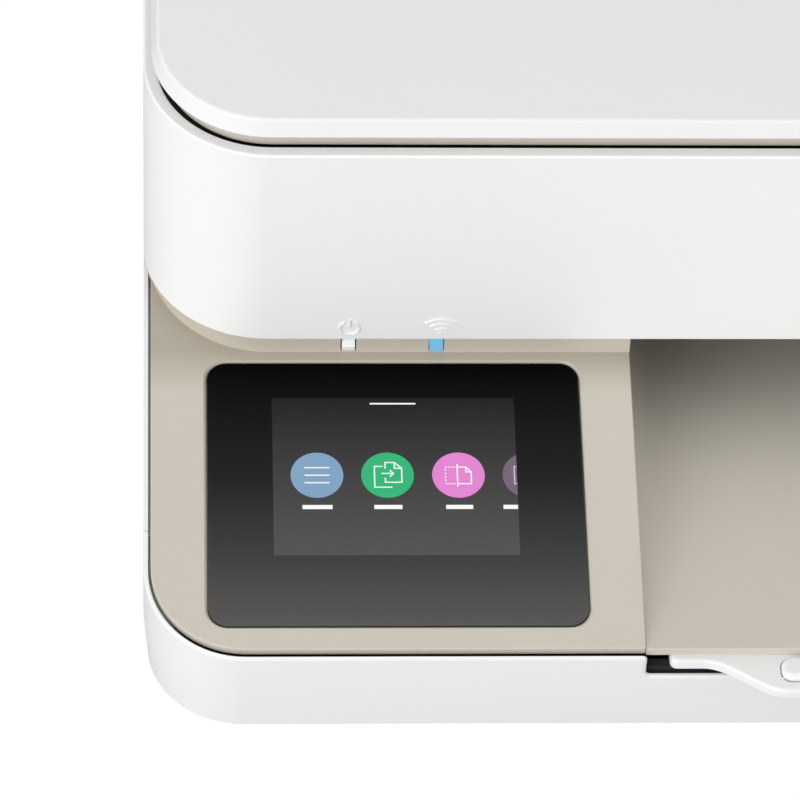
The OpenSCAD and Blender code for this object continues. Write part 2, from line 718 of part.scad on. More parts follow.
module glass_bezel() color(SAND) difference() {
    union() {
        slab(shell_z1 - 0.8, bezel_z1) upper_plan(bezel_in);
        slab(shell_z1 - 2.4, shell_z1 - 0.8) upper_plan(shell_wall + 4);
    }
    block(-glass_x + 4, glass_x - 4, glass_y0 + 4, glass_y1 - 4, shell_z1 - 5, bezel_z1 + 1);
    block(-glass_x, glass_x, glass_y0, glass_y1, shell_z1 - 5, shell_z1 + 1);
    for (s = [-1, 1]) block(s * 130 - 5.5, s * 130 + 5.5, y_back - 6.8, y_back, 100, 130);
    block(-150, 150, lid_axis_y - 3, y_back, bezel_z1 - 0.6, bezel_z1 + 1);
}

module scan_glass() color([0.75, 0.85, 0.85, 0.4])
    block(-glass_x + 0.2, glass_x - 0.2, glass_y0 + 0.2, glass_y1 - 0.2, shell_z1 - 2.3, shell_z1 + 0.9);

module scan_rail() color(STEEL) rod_x(-192, 192, scan_y, scan_z, 3);

module scan_motor() color(STEEL) {
    translate([-196, scan_y + 40, pan_z + 2]) cylinder(h = 15, r = 10);
    translate([-196, scan_y + 40, pan_z + 16]) cylinder(h = 3, r = 3);
}

scan_home_x = -160;
module scan_bar() color(BLACK) difference() {
    union() {
        block(scan_home_x, scan_home_x + 16, glass_y0 + 2, glass_y1 - 2, shell_z1 - 13, shell_z1 - 3);
        block(scan_home_x + 1, scan_home_x + 15, scan_y - 14, scan_y + 14, scan_z - 5, shell_z1 - 12);
    }
    rod_x(scan_home_x - 1, scan_home_x + 17, scan_y, scan_z, 3 + run_gap);
    block(scan_home_x + 4, scan_home_x + 12, glass_y0 + 6, glass_y1 - 6, shell_z1 - 4, shell_z1);
}

module lid_hinge_brackets() color(STEEL) for (s = [-1, 1]) {
    rod_x(s * 130 - 3.5, s * 130 + 3.5, lid_axis_y, lid_axis_z, 2.1);
    rod_x(s * 130 - 9, s * 130 + 9, lid_axis_y, lid_axis_z, 1);
    block(s * 130 - 3.5, s * 130 + 3.5, lid_axis_y - 1.5, lid_axis_y + 0.8, pan_z + 6, lid_axis_z);
    block(s * 130 - 3.5, s * 130 + 3.5, lid_axis_y - 2, lid_axis_y + 0.8, pan_z + 6, pan_z + 16);
}

// ---- lid ----

lid_in = 1.6;
module lid_cover() color(WHITE) {
    difference() {
        union() {
            slab(lid_z0, lid_z1) intersection() {
                upper_plan(lid_in);
                translate([-x_out, upper_y]) square([body_w, lid_axis_y - upper_y]);
            }
            rod_x(-190, 190, lid_axis_y, lid_axis_z, lid_t / 2);
        }
        for (s = [-1, 1]) {
            block(s * 130 - 4, s * 130 + 4, lid_axis_y - 4.5, y_back, lid_z0 - 1, lid_z1 + 1);
            rod_x(s * 130 - 9.4, s * 130 + 9.4, lid_axis_y, lid_axis_z, 1 + run_gap);
        }
    }
}

module lid_pad() color([0.97, 0.97, 0.96])
    block(-glass_x + 6, glass_x - 6, glass_y0 + 6, glass_y1 - 6, shell_z1 + 1.2, lid_z0);

// ---- paper drawer ----

notch_x = 117.2;
notch_z = 40.6;
module drawer_front() color(WHITE) difference() {
    slab(band_z0, deck_z + 6) difference() {
        base_plan(0);
        base_plan(wall);
    }
    block(-x_out - 1, x_out + 1, side_seam_y - 0.4, y_back + 1, 0, 200);
    above_rim_front();
    deck_clearance();
    // inside the rim it stays below the deck, which it slides out from under
    slab(deck_z - deck_t - 0.8, deck_z + 10)
        round_rect(-x_out + deck_in - seam, x_out - deck_in + seam, deck_y - seam, 0, base_r - deck_in + seam, 1);
    block(-notch_x, notch_x, y_front - 1, y_front + wall + 1, notch_z, 100);
}

pan_front_y = y_front + 12;
module drawer_pan() color(DARK) {
    difference() {
        union() {
            block(-drawer_x, drawer_x, pan_front_y, drawer_y1, drawer_z0, 27);
            block(-drawer_x, drawer_x, y_front + wall, pan_front_y + 1, band_z0, band_z0 + 2);
            block(-notch_x, notch_x, y_front + wall, y_front + wall + 2, band_z0, notch_z - 1);
        }
        block(-drawer_x + 2, drawer_x - 2, pan_front_y + 2, drawer_y1 - 2, drawer_z0 + 2, 60);
        block(-110, 110, drawer_y1 - 3, drawer_y1 + 1, drawer_z0 + 2, 60);
        block(-drawer_x - 1, drawer_x + 1, feed_y - 20, drawer_y1 + 1, 26, 60);
    }
    // pin of the width guides' pinion
    translate([0, guide_rack_y, drawer_z0 + 1]) cylinder(h = 3, r = 0.8);
}

guide_rack_y = -20;
guide_m = 0.6;
guide_n = 14;
guide_pr = guide_n * guide_m / 2;
guide_x = 109;
guide_z0 = drawer_z0 + 2.3;
rack_t = 1.8;

// Teeth of a straight rack, along X, pointing to -Y, with a tooth at x = 0
module rack_2d(x0, x1) {
    pitch = PI * guide_m;
    translate([x0, 0.6]) square([x1 - x0, 1.8]);
    for (k = [ceil(x0 / pitch) + 1:floor(x1 / pitch) - 1]) translate([k * pitch, 0])
        polygon([[-0.62, 0.7], [-0.16, -0.5], [0.16, -0.5], [0.62, 0.7]]);
}

// s is -1 for the left guide and 1 for the right one
module guide_plate(s) {
    bar_y = guide_rack_y + s * (guide_pr + 0.1);
    other_y = guide_rack_y - s * (guide_pr + 1.6);
    difference() {
        union() {
            block(min(s * guide_x, s * (guide_x + 2)), max(s * guide_x, s * (guide_x + 2)), -70, 60, guide_z0, 25);
            block(min(s * guide_x, s * (guide_x + 12)), max(s * guide_x, s * (guide_x + 12)), -70, 60,
                guide_z0, guide_z0 + 1);
        }
        // passage for the other guide's rack
        block(-130, 130, other_y - 2.6, other_y + 2.6, guide_z0 - 1, guide_z0 + rack_t + 0.6);
    }
    translate([0, bar_y, guide_z0]) linear_extrude(rack_t) mirror([0, s < 0 ? 1 : 0])
        rack_2d(s < 0 ? -guide_x - 0.5 : -16, s < 0 ? 16 : guide_x + 0.5);
}
module left_guide() color(GREY) guide_plate(-1);
module right_guide() color(GREY) guide_plate(1);
module guide_pinion() color(GREY) translate([0, guide_rack_y, guide_z0]) difference() {
    linear_extrude(rack_t) gear_2d(guide_n, guide_m, 0.2);
    translate([0, 0, -1]) cylinder(h = 4, r = 0.8 + run_gap);
}

length_y = pan_front_y + 3;
module length_guide() color(GREY) {
    block(-16, 16, length_y, length_y + 14, guide_z0, guide_z0 + 1.2);
    block(-16, 16, length_y, length_y + 2, guide_z0, 25);
    for (x = [-10, 0, 8]) block(x, x + 2, length_y, length_y + 9, guide_z0, guide_z0 + 5);
}

// ---- output extender ----

grip_x0 = 90;
grip_x1 = 106;
// Front edge of the extender: flush at the sides, standing out in the middle, joined by an S
function grip_edge(x) =
    let (t = min(1, max(0, (grip_x1 - abs(x)) / (grip_x1 - grip_x0))))
    -(grip_out + 1.1 - 0.9) * t * t * (3 - 2 * t) - 0.9;
ext_x = 112.6;
ext_t = 2.4;
ext_len = 125;
stop_x = 91;
stop_y0 = -6.2;
module on_extender() on_floor() translate([0, 0, -floor_t - 0.3 - ext_t]) children();
module tray_extender() color(WHITE) on_extender() difference() {
    linear_extrude(ext_t) polygon(concat(
        [for (x = [-grip_x1:2:-grip_x0]) [x, grip_edge(x)]],
        [for (x = [grip_x0:2:grip_x1]) [x, grip_edge(x)]],
        [[ext_x - 3, -0.9], [ext_x, 2.4], [ext_x, ext_len], [-ext_x, ext_len], [-ext_x, 2.4], [-ext_x + 3, -0.9]]
    ));
    // recess for the paper stop, and the bore of its pins
    translate([-stop_x - 0.4, stop_y0 - 0.6, ext_t - 1.3]) cube([2 * stop_x + 0.8, stop_w + 1.2, 2]);
    translate([-stop_x - 3, stop_y0 + 0.9, ext_t - 0.1]) rotate([0, 90, 0]) cylinder(h = 2 * stop_x + 6, r = 0.6);
}

stop_w = 5.9;
module paper_stop() color(WHITE) on_extender() translate([0, stop_y0, ext_t - 0.8]) {
    linear_extrude(1.9) round_rect(-stop_x, stop_x, 0, stop_w, 0.9, 3);
    translate([-stop_x - 2.4, 0.9, 0.7]) rotate([0, 90, 0]) cylinder(h = 2 * stop_x + 4.8, r = 0.5);
}

// ---- rear button ----

module power_button() color(GREY) {
    rod_y_dir(button_x, y_back - 8, y_back - 0.2, button_z, 5);
    rod_y_dir(button_x, y_back - 9, y_back - 6, button_z, 6.3);
}

base_pan();
base_shell();
front_deck();
touch_glass();
display_module();
control_board();
indicator_lights();
rubber_feet();
main_frame();
carriage_rod();
encoder_strip();
platen();
service_station();
main_board();
power_supply();
power_inlet();
usb_port();
turn_guide();
access_hinge_pins();
carriage_motor();
feed_motor();
carriage_belt();
chassis_screws();
motor_pulley();
idler_pulley();
print_carriage();
color_cartridge();
black_cartridge();
left_latch();
right_latch();
feed_roller();
feed_gear();
idler_gear();
output_roller();
output_gear();
motor_pinion();
pinch_roller();
star_wheels();
turn_roller();
pick_arm();
pick_roller();
scanner_shell();
scanner_pan();
glass_bezel();
scan_glass();
scan_rail();
scan_motor();
lid_hinge_brackets();
scan_bar();
lid_cover();
lid_pad();
drawer_front();
drawer_pan();
left_guide();
right_guide();
guide_pinion();
length_guide();
tray_extender();
paper_stop();
power_button();
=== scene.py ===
"""Visual model of a compact all-in-one inkjet printer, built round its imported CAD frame.

Lengths in the build code are millimetres; MM turns them into Blender's metres.
"""

import json
import math

import bmesh
import bpy
from mathutils import Matrix, Vector


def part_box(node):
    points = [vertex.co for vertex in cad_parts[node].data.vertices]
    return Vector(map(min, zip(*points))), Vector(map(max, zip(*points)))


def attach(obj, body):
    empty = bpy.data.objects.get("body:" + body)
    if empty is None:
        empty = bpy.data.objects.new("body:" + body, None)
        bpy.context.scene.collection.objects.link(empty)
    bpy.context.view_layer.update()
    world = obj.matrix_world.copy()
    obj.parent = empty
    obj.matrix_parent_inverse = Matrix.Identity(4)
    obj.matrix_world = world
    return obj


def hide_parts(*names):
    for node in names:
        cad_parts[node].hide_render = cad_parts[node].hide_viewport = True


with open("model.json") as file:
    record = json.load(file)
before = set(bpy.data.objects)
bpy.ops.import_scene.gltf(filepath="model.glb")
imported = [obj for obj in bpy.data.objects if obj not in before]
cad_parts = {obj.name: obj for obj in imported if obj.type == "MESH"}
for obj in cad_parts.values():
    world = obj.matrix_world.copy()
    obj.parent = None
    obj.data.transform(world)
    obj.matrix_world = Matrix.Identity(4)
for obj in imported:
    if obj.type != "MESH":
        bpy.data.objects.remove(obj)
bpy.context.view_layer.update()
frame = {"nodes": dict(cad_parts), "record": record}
MM = 0.001


def low(node):
    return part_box(node)[0] / MM


def high(node):
    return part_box(node)[1] / MM


# ---- positions taken from the CAD ----

X_OUT = high("base_shell").x
Y_BACK = high("base_shell").y
Y_FRONT = low("drawer_front").y
BAND_Z0 = low("drawer_front").z
SEAM_Y = high("drawer_front").y
UPPER_Y = low("scanner_shell").y
SHELL_Z0 = low("scanner_shell").z
SHELL_Z1 = high("scanner_shell").z
BEZEL_Z1 = high("glass_bezel").z
LID_Z0 = low("lid_cover").z
LID_Z1 = high("lid_cover").z
REAR_Z = high("base_shell").z
STRIP_TOP = high("front_deck").z
GLASS_X0 = low("touch_glass").x
GLASS_X1 = high("touch_glass").x

# ---- sizes that follow the CAD source ----

# corner radii in plan, and wall thicknesses
BASE_R = 20
UPPER_R = 25
WALL = 2.2
SHELL_WALL = 2.6

# the sloping deck's front edge, thickness, slope, and how far it lies inside the case
DECK_IN = 1.43
DECK_Y = Y_FRONT + 1.1
DECK_Z = BAND_Z0 + 22
DECK_T = 2.2
DECK_SLOPE = math.radians(8.6)
DECK_BACK = 0.6  # the visible edge starts this far behind DECK_Y, which opens the gap to the band
EDGE = 0.3  # rounding of the deck's and the bay's upper edges

# the white band's lower edge and the drop from the deck to its rim
BAND_FOOT = BAND_Z0 - 1.3
RIM_DROP = 0.7
SEAM = 0.5

# the strip under the scanner unit: inset of its face, and its height at the front
STRIP_IN = 0.6
STRIP_SUNK = 0.6
STRIP_FOOT = DECK_Z + (UPPER_Y + STRIP_IN - DECK_Y) * math.tan(DECK_SLOPE) - STRIP_SUNK

# output bay, and the notch for the extender in the drawer's front
BAY_SLOPE = math.radians(6)
BAY_X = 117.4
NOTCH_X = 117.2
NOTCH_Z = BAND_Z0 + 15.3

# touch glass, measured up the deck
GLASS_UP = 6
GLASS_L = 60.8
GLASS_R = 3.9

# rear part of the case, and the two hinge lines
REAR_Y = Y_BACK - 30
REAR_BACK_Z = REAR_Z - 3.6
ACCESS_Y = Y_BACK - 7.5
ACCESS_Z = SHELL_Z0 + 21
LID_AXIS_Y = Y_BACK - 3.9
LID_AXIS_Z = (LID_Z0 + LID_Z1) / 2
BRACKET_X = 130
HINGE_X = 180

# rear panel
PORT_Z = 29
INLET_X = (-176, -152)
USB_X = (140, 153)
BUTTON_X, BUTTON_Z, BUTTON_HOLE_R = 163, 50, 5.3
VENTS, VENT_X, VENT_PITCH, VENT_W, VENT_Z = 12, -120, 7, 3, (34, 58)

# indicator lights
POWER_LIGHT_X = -174.6
WIRELESS_LIGHT_X = -156.75
LIGHT_W = 2.6
LIGHT_GAP = 0.3
LIGHT_Z0 = 56.62

# display module on the glass, and its tiles
DISPLAY_X0 = GLASS_X0 + 13.0
DISPLAY_V0 = GLASS_UP + 15.9
DISPLAY_W = 48.8
DISPLAY_H = 36.6
TILE_U = (8.8, 22.9, 37.1)
NEXT_TILE_U = 51.2
TILE_V = 18.5
TILE_R = 5.27

# extender's underside and top, from the bay's floor plane; the paper stop on it
EXT_LOW = -4.3
EXT_TOP = -1.9
EXT_X = 112.6
STOP_X = 91
STOP_RADII = [2.2, 2.2, 2.6, 2.6]
PIN_V = -5.3

# ---- mesh tools ----


def mesh_object(name, verts, faces):
    mesh = bpy.data.meshes.new(name)
    mesh.from_pydata([tuple(c * MM for c in v) for v in verts], [], faces)
    bm = bmesh.new()
    bm.from_mesh(mesh)
    bmesh.ops.remove_doubles(bm, verts=bm.verts, dist=2e-7)
    bmesh.ops.dissolve_degenerate(bm, edges=bm.edges, dist=1e-8)
    bmesh.ops.recalc_face_normals(bm, faces=bm.faces)
    bm.to_mesh(mesh)
    bm.free()
    obj = bpy.data.objects.new(name, mesh)
    bpy.context.scene.collection.objects.link(obj)
    return obj


def skin(rings, loop=False):
    """Vertices and faces that join equal rings of points, closed by caps or by the first ring again."""
    n = len(rings[0])
    verts = [p for ring in rings for p in ring]
    faces = []
    last = len(rings) if loop else len(rings) - 1
    for i in range(last):
        a, b = i * n, ((i + 1) % len(rings)) * n
        for k in range(n):
            m = (k + 1) % n
            faces.append((a + k, a + m, b + m, b + k))
    if not loop:
        faces.append(tuple(reversed(range(n))))
        faces.append(tuple(range((len(rings) - 1) * n, len(rings) * n)))
    return verts, faces


def gather(parts):
    """One list of vertices and one of faces from several (vertices, faces) parts."""
    verts, faces = [], []
    for v, f in parts:
        faces += [tuple(i + len(verts) for i in face) for face in f]
        verts += v
    return verts, faces


def rounded(x0, x1, y0, y1, radii, inset=0.0, n=12):
    """Rounded rectangle as points, from the front left corner, moved in by inset."""
    x0, x1, y0, y1 = x0 + inset, x1 - inset, y0 + inset, y1 - inset
    if not isinstance(radii, (list, tuple)):
        radii = [radii] * 4
    radii = [max(r - inset, 0.02) for r in radii]
    fl, fr, br, bl = radii
    centres = [
        (x0 + fl, y0 + fl, fl, 180), (x1 - fr, y0 + fr, fr, 270),
        (x1 - br, y1 - br, br, 0), (x0 + bl, y1 - bl, bl, 90),
    ]
    points = []
    for cx, cy, r, start in centres:
        for k in range(n + 1):
            a = math.radians(start + 90 * k / n)
            points.append((cx + r * math.cos(a), cy + r * math.sin(a)))
    return points


def quarter(d0, h0, d1, h1, n=5):
    """Quarter of an ellipse from a face (d0, h0) over to a top (d1, h1), as (inset, height) pairs."""
    angles = [math.pi / 2 * k / n for k in range(n + 1)]
    return [(d0 + (d1 - d0) * (1 - math.cos(a)), h0 + (h1 - h0) * math.sin(a)) for a in angles]


def under(d0, h0, d1, h1, n=4):
    """Quarter of an ellipse from an underside (d0, h0) out to a face (d1, h1)."""
    return list(reversed(quarter(d1, h1, d0, h0, n)))


def at_level(x, y, h):
    return (x, y, h)


def on_deck(x, v, h):
    """A point v up the sloping deck from its front edge, h off its surface."""
    c, s = math.cos(DECK_SLOPE), math.sin(DECK_SLOPE)
    return (x, DECK_Y + v * c - h * s, DECK_Z + v * s + h * c)


def screen(u, v, h):
    """A point on the display, from its front left corner."""
    return on_deck(DISPLAY_X0 + u, DISPLAY_V0 + v, h)


def on_floor(x, v, h):
    """A point v back along the bay's floor from its front edge, h off its surface."""
    c, s = math.cos(BAY_SLOPE), math.sin(BAY_SLOPE)
    return (x, DECK_Y + v * c + h * s, DECK_Z - v * s + h * c)


def on_face(x, z, out):
    """A point on the scanner unit's front face, out of it by out."""
    return (x, UPPER_Y - out, z)


def plate(name, outline, profile, place=at_level, loop=False):
    """Solid of stacked outlines: outline(inset) gives points, profile gives (inset, height)."""
    rings = [[place(x, y, h) for x, y in outline(d)] for d, h in profile]
    return mesh_object(name, *skin(rings, loop))


def box(name, x0, x1, y0, y1, z0, z1, place=at_level):
    corners = ((x0, y0), (x1, y0), (x1, y1), (x0, y1))
    rings = [[place(x, y, h) for x, y in corners] for h in (z0, z1)]
    return mesh_object(name, *skin(rings))


def soft_box(name, x0, x1, y0, y1, z0, z1, r, corner):
    """Box with every edge rounded by r and its corners in plan by corner."""
    profile = under(r, z0, 0, z0 + r) + quarter(0, z1 - r, r, z1)
    return plate(name, lambda d: rounded(x0, x1, y0, y1, corner, d, 6), profile)


def tube(name, axis, centre, r, a0, a1, n=32):
    """Cylinder along axis 'x', 'y' or 'z' from a0 to a1, through centre (the other two coordinates)."""
    rings = []
    for a in (a0, a1):
        ring = []
        for k in range(n):
            t = 2 * math.pi * k / n
            p, q = centre[0] + r * math.cos(t), centre[1] + r * math.sin(t)
            ring.append({"x": (a, p, q), "y": (p, a, q), "z": (p, q, a)}[axis])
        rings.append(ring)
    return mesh_object(name, *skin(rings))


def offset_loop(points, d):
    """A closed outline moved in by d, corner by corner."""
    n = len(points)
    out = []
    for i in range(n):
        ax, ay = points[i - 1]
        bx, by = points[i]
        cx, cy = points[(i + 1) % n]
        e1 = Vector((bx - ax, by - ay)).normalized()
        e2 = Vector((cx - bx, cy - by)).normalized()
        n1, n2 = Vector((-e1.y, e1.x)), Vector((-e2.y, e2.x))
        m = n1 + n2
        m = m.normalized() if m.length > 1e-6 else n1
        reach = d / max(m.dot(n1), 0.4)
        out.append((bx + m.x * reach, by + m.y * reach))
    return out


def ribbon_rings(points, width, h0, h1, place):
    """Cross-sections of a flat line of that width along points."""
    rings = []
    for i, (x, y) in enumerate(points):
        before = points[i - 1] if i > 0 else None
        after = points[i + 1] if i < len(points) - 1 else None
        dirs = []
        if before:
            dirs.append(Vector((x - before[0], y - before[1])).normalized())
        if after:
            dirs.append(Vector((after[0] - x, after[1] - y)).normalized())
        t = sum(dirs, Vector((0, 0))).normalized()
        side = Vector((-t.y, t.x))
        reach = width / 2 / max(side.dot(Vector((-dirs[0].y, dirs[0].x))), 0.5)
        lx, ly = x + side.x * reach, y + side.y * reach
        rx, ry = x - side.x * reach, y - side.y * reach
        ease = min(0.25 * width, 0.5 * (h1 - h0))
        rings.append([
            place(lx, ly, h0), place(rx, ry, h0), place(rx, ry, h1 - ease),
            place(rx + side.x * ease, ry + side.y * ease, h1),
            place(lx - side.x * ease, ly - side.y * ease, h1), place(lx, ly, h1 - ease),
        ])
    return rings


def line_art(name, lines, width, h0, h1, place):
    """One object of several raised lines, each a list of points."""
    return mesh_object(name, *gather(skin(ribbon_rings(points, width, h0, h1, place)) for points in lines))


def arc(cx, cy, r, a0, a1, n=12):
    """Points of an arc from a0 to a1 degrees."""
    angles = [math.radians(a0 + (a1 - a0) * k / n) for k in range(n + 1)]
    return [(cx + r * math.cos(a), cy + r * math.sin(a)) for a in angles]


def cut(obj, cutter):
    """Takes the cutter out of obj and removes it."""
    mod = obj.modifiers.new("shape", "BOOLEAN")
    mod.operation = "DIFFERENCE"
    mod.solver = "EXACT"
    mod.object = cutter
    deps = bpy.context.evaluated_depsgraph_get()
    mesh = bpy.data.meshes.new_from_object(obj.evaluated_get(deps))
    obj.modifiers.remove(mod)
    old = obj.data
    obj.data = mesh
    bpy.data.meshes.remove(old)
    bpy.data.objects.remove(cutter)
    bm = bmesh.new()
    bm.from_mesh(obj.data)
    bmesh.ops.remove_doubles(bm, verts=bm.verts, dist=1e-6)
    bmesh.ops.dissolve_degenerate(bm, edges=bm.edges, dist=1e-6)
    bm.to_mesh(obj.data)
    bm.free()


def round_edges(obj, width):
    """Real rounding on a built mesh's sharp edges."""
    mod = obj.modifiers.new("round", "BEVEL")
    mod.width = width * MM
    mod.segments = 3
    mod.limit_method = "ANGLE"
    mod.angle_limit = math.radians(40)
    mod.miter_outer = "MITER_ARC"


def smooth(obj):
    """Smooth shading that keeps the sharp edges sharp."""
    for poly in obj.data.polygons:
        poly.use_smooth = True
    obj.data.set_sharp_from_angle(angle=math.radians(32))
    mod = obj.modifiers.new("shade", "WEIGHTED_NORMAL")
    mod.keep_sharp = True
    mod.weight = 80


# ---- materials ----


def linear(rgb):
    """A screen colour of 0 to 255 as linear RGBA."""
    shares = [c / 255 for c in rgb]
    return tuple(c / 12.92 if c <= 0.04045 else ((c + 0.055) / 1.055) ** 2.4 for c in shares) + (1.0,)


class Graph:
    """Short names for building a node tree."""

    def __init__(self, name):
        self.mat = bpy.data.materials.new(name)
        self.mat.use_nodes = True
        self.tree = self.mat.node_tree
        self.shader = self.tree.nodes["Principled BSDF"]
        self.place = self.add("ShaderNodeTexCoord").outputs["Object"]

    def add(self, kind, **values):
        node = self.tree.nodes.new(kind)
        for key, value in values.items():
            if hasattr(node, key):
                setattr(node, key, value)
            else:
                node.inputs[key.replace("_", " ")].default_value = value
        return node

    def link(self, a, b):
        self.tree.links.new(a, b)

    def noise(self, scale, detail=3.0):
        node = self.add("ShaderNodeTexNoise", Scale=scale, Detail=detail, Roughness=0.55)
        self.link(self.place, node.inputs["Vector"])
        return node.outputs["Fac"]

    def span(self, value, a, b, lo=0.3, hi=0.7):
        """Maps lo to hi onto a to b; noise mostly lies between 0.3 and 0.7."""
        node = self.add("ShaderNodeMapRange")
        node.inputs["From Min"].default_value = lo
        node.inputs["From Max"].default_value = hi
        node.inputs["To Min"].default_value = a
        node.inputs["To Max"].default_value = b
        self.link(value, node.inputs["Value"])
        return node.outputs["Result"]

    def mix(self, factor, a, b):
        node = self.add("ShaderNodeMix", data_type="RGBA")
        self.link(factor, node.inputs["Factor"])
        for socket, value in ((node.inputs[6], a), (node.inputs[7], b)):
            if isinstance(value, tuple):
                socket.default_value = value
            else:
                self.link(value, socket)
        return node.outputs[2]

    def bump(self, height, strength, distance):
        node = self.add("ShaderNodeBump")
        node.inputs["Strength"].default_value = strength
        node.inputs["Distance"].default_value = distance * MM
        self.link(height, node.inputs["Height"])
        self.link(node.outputs["Normal"], self.shader.inputs["Normal"])

    def set(self, **values):
        for key, value in values.items():
            self.shader.inputs[key.replace("_", " ")].default_value = value

    def colour(self, value):
        self.link(value, self.shader.inputs["Base Color"])

    def roughness(self, value, a, b, lo=0.3, hi=0.7):
        self.link(self.span(value, a, b, lo, hi), self.shader.inputs["Roughness"])

    def along(self, axis):
        """The coordinate along X, Y or Z."""
        parts = self.add("ShaderNodeSeparateXYZ")
        self.link(self.place, parts.inputs[0])
        return parts.outputs[axis]


def shade(rgb, factor):
    c = linear(rgb)
    return tuple(min(1.0, v * factor) for v in c[:3]) + (1.0,)


def plastic(name, rgb, rough, spread=0.02, grain=0.25, grain_scale=2600, depth=0.01, **extra):
    """Moulded plastic: slow drift of tone, varying roughness and a fine moulded grain."""
    g = Graph(name)
    g.colour(g.mix(g.span(g.noise(14, 2), 0, 1), shade(rgb, 1 - spread), shade(rgb, 1 + spread)))
    g.roughness(g.noise(90, 3), rough - 0.04, rough + 0.04)
    g.bump(g.noise(grain_scale, 2), grain, depth)
    g.set(Specular_IOR_Level=0.5, **extra)
    return g


def metal(name, rgb, rough, stretch=(1, 1, 1)):
    """Metal with a drawn grain along the short axis of stretch."""
    g = Graph(name)
    mapping = g.add("ShaderNodeMapping")
    mapping.inputs["Scale"].default_value = stretch
    g.link(g.place, mapping.inputs["Vector"])
    noise = g.add("ShaderNodeTexNoise", Scale=900.0, Detail=4.0)
    g.link(mapping.outputs["Vector"], noise.inputs["Vector"])
    grain = noise.outputs["Fac"]
    spread = 0.06
    g.colour(g.mix(g.span(grain, 0, 1), shade(rgb, 1 - spread), shade(rgb, 1 + spread)))
    g.roughness(grain, rough - 0.07, rough + 0.07)
    g.bump(grain, 0.1, 0.01)
    g.set(Metallic=1.0)
    return g


MATERIALS = {}


def build_materials():
    """One material for each slot, and four that single pieces use."""
    m = MATERIALS
    m["white_plastic"] = plastic("white_plastic", (239, 239, 239), 0.42, spread=0.008, grain=0.12)
    # the scanner case's white is a lighter copy of the white plastic: painted light, so its face reads
    # brighter than the drawer front
    m["white_shell_painted_light"] = plastic("white_shell_painted_light", (246, 246, 246), 0.4, spread=0.006, grain=0.1)
    m["white_gloss"] = plastic("white_gloss", (241, 241, 241), 0.30, spread=0.008, grain=0.05)
    m["sand_plastic"] = plastic("sand_plastic", (206, 200, 187), 0.46, spread=0.012, grain=0.2)
    m["dark_plastic"] = plastic("dark_plastic", (58, 58, 61), 0.5, spread=0.06, grain=0.4)
    m["black_plastic"] = plastic("black_plastic", (24, 24, 26), 0.45, spread=0.08, grain=0.35)
    m["grey_plastic"] = plastic("grey_plastic", (140, 142, 144), 0.45, spread=0.03)
    m["gear_plastic"] = plastic("gear_plastic", (226, 221, 204), 0.38, spread=0.02, Subsurface_Weight=0.1)
    m["blue_plastic"] = plastic("blue_plastic", (64, 112, 170), 0.4, spread=0.03)
    m["rubber"] = plastic("rubber", (38, 38, 39), 0.78, spread=0.1, grain=0.6, grain_scale=1500, depth=0.03)
    m["steel"] = metal("steel", (176, 178, 181), 0.36, (0.15, 1, 1))
    m["polished_steel"] = metal("polished_steel", (205, 206, 209), 0.16, (0.1, 1, 1))
    m["brass_gear"] = metal("brass_gear", (205, 172, 104), 0.3)
    m["board_green"] = board_material()
    m["gloss_black"] = glass_painted_reflection_material()
    m["light_pipe"] = plastic(
        "light_pipe", (226, 230, 234), 0.25,
        Subsurface_Weight=0.3, Emission_Strength=0.25, Emission_Color=(1, 1, 1, 1))
    m["clear_glass"] = clear_material("clear_glass", (236, 244, 240), 0.03, 0.86)
    m["clear_film"] = clear_material("clear_film", (226, 230, 230), 0.12, 0.6)
    m["white_foam"] = foam_material()
    m["relief"] = plastic("white_relief", (240, 240, 241), 0.35, spread=0.01, grain=0.1)
    # painted highlight: a paler band along the foot of the strip; the strip's sand is also painted a little
    # darker, a painted shade under the scanner unit
    m["strip"] = sand_with_painted_band(
        "sand_strip_painted_shade_and_highlight", (196, 189, 174), (201, 194, 180), (232, 227, 212),
        "Z", (STRIP_FOOT + 0.46, STRIP_FOOT + 0.36))
    # painted shade: darker where the deck runs in under the strip
    m["deck"] = sand_with_painted_band(
        "sand_deck_painted_shade", (202, 196, 183), (206, 200, 187), (176, 168, 153), "Y", (UPPER_Y - 9, UPPER_Y + 1))


def sand_with_painted_band(name, darker, paler, band, axis, reach):
    """Sand plastic with a painted tone faded in along an axis, from reach[0] to reach[1]: painted shade on the
    deck, a painted highlight on the strip.
    """
    g = Graph(name)
    sand = g.mix(g.span(g.noise(14, 2), 0, 1), linear(darker), linear(paler))
    lo, hi = sorted(reach)
    ends = (0.0, 1.0) if reach[0] < reach[1] else (1.0, 0.0)
    g.colour(g.mix(g.span(g.along(axis), *ends, lo * MM, hi * MM), sand, linear(band)))
    g.roughness(g.noise(90, 3), 0.42, 0.5)
    g.bump(g.noise(2600, 2), 0.25, 0.01)
    return g


def board_material():
    g = Graph("board_green")
    traces = g.add("ShaderNodeTexBrick", Scale=160.0)
    traces.inputs["Color1"].default_value = shade((28, 92, 56), 0.9)
    traces.inputs["Color2"].default_value = shade((32, 104, 62), 1.0)
    traces.inputs["Mortar"].default_value = shade((58, 132, 84), 1.0)
    traces.inputs["Mortar Size"].default_value = 0.012
    g.link(g.place, traces.inputs["Vector"])
    g.colour(g.mix(g.span(g.noise(60), 0, 0.35), traces.outputs["Color"], shade((24, 70, 44), 1)))
    g.roughness(g.noise(200), 0.25, 0.4)
    g.bump(traces.outputs["Fac"], 0.3, 0.03)
    return g


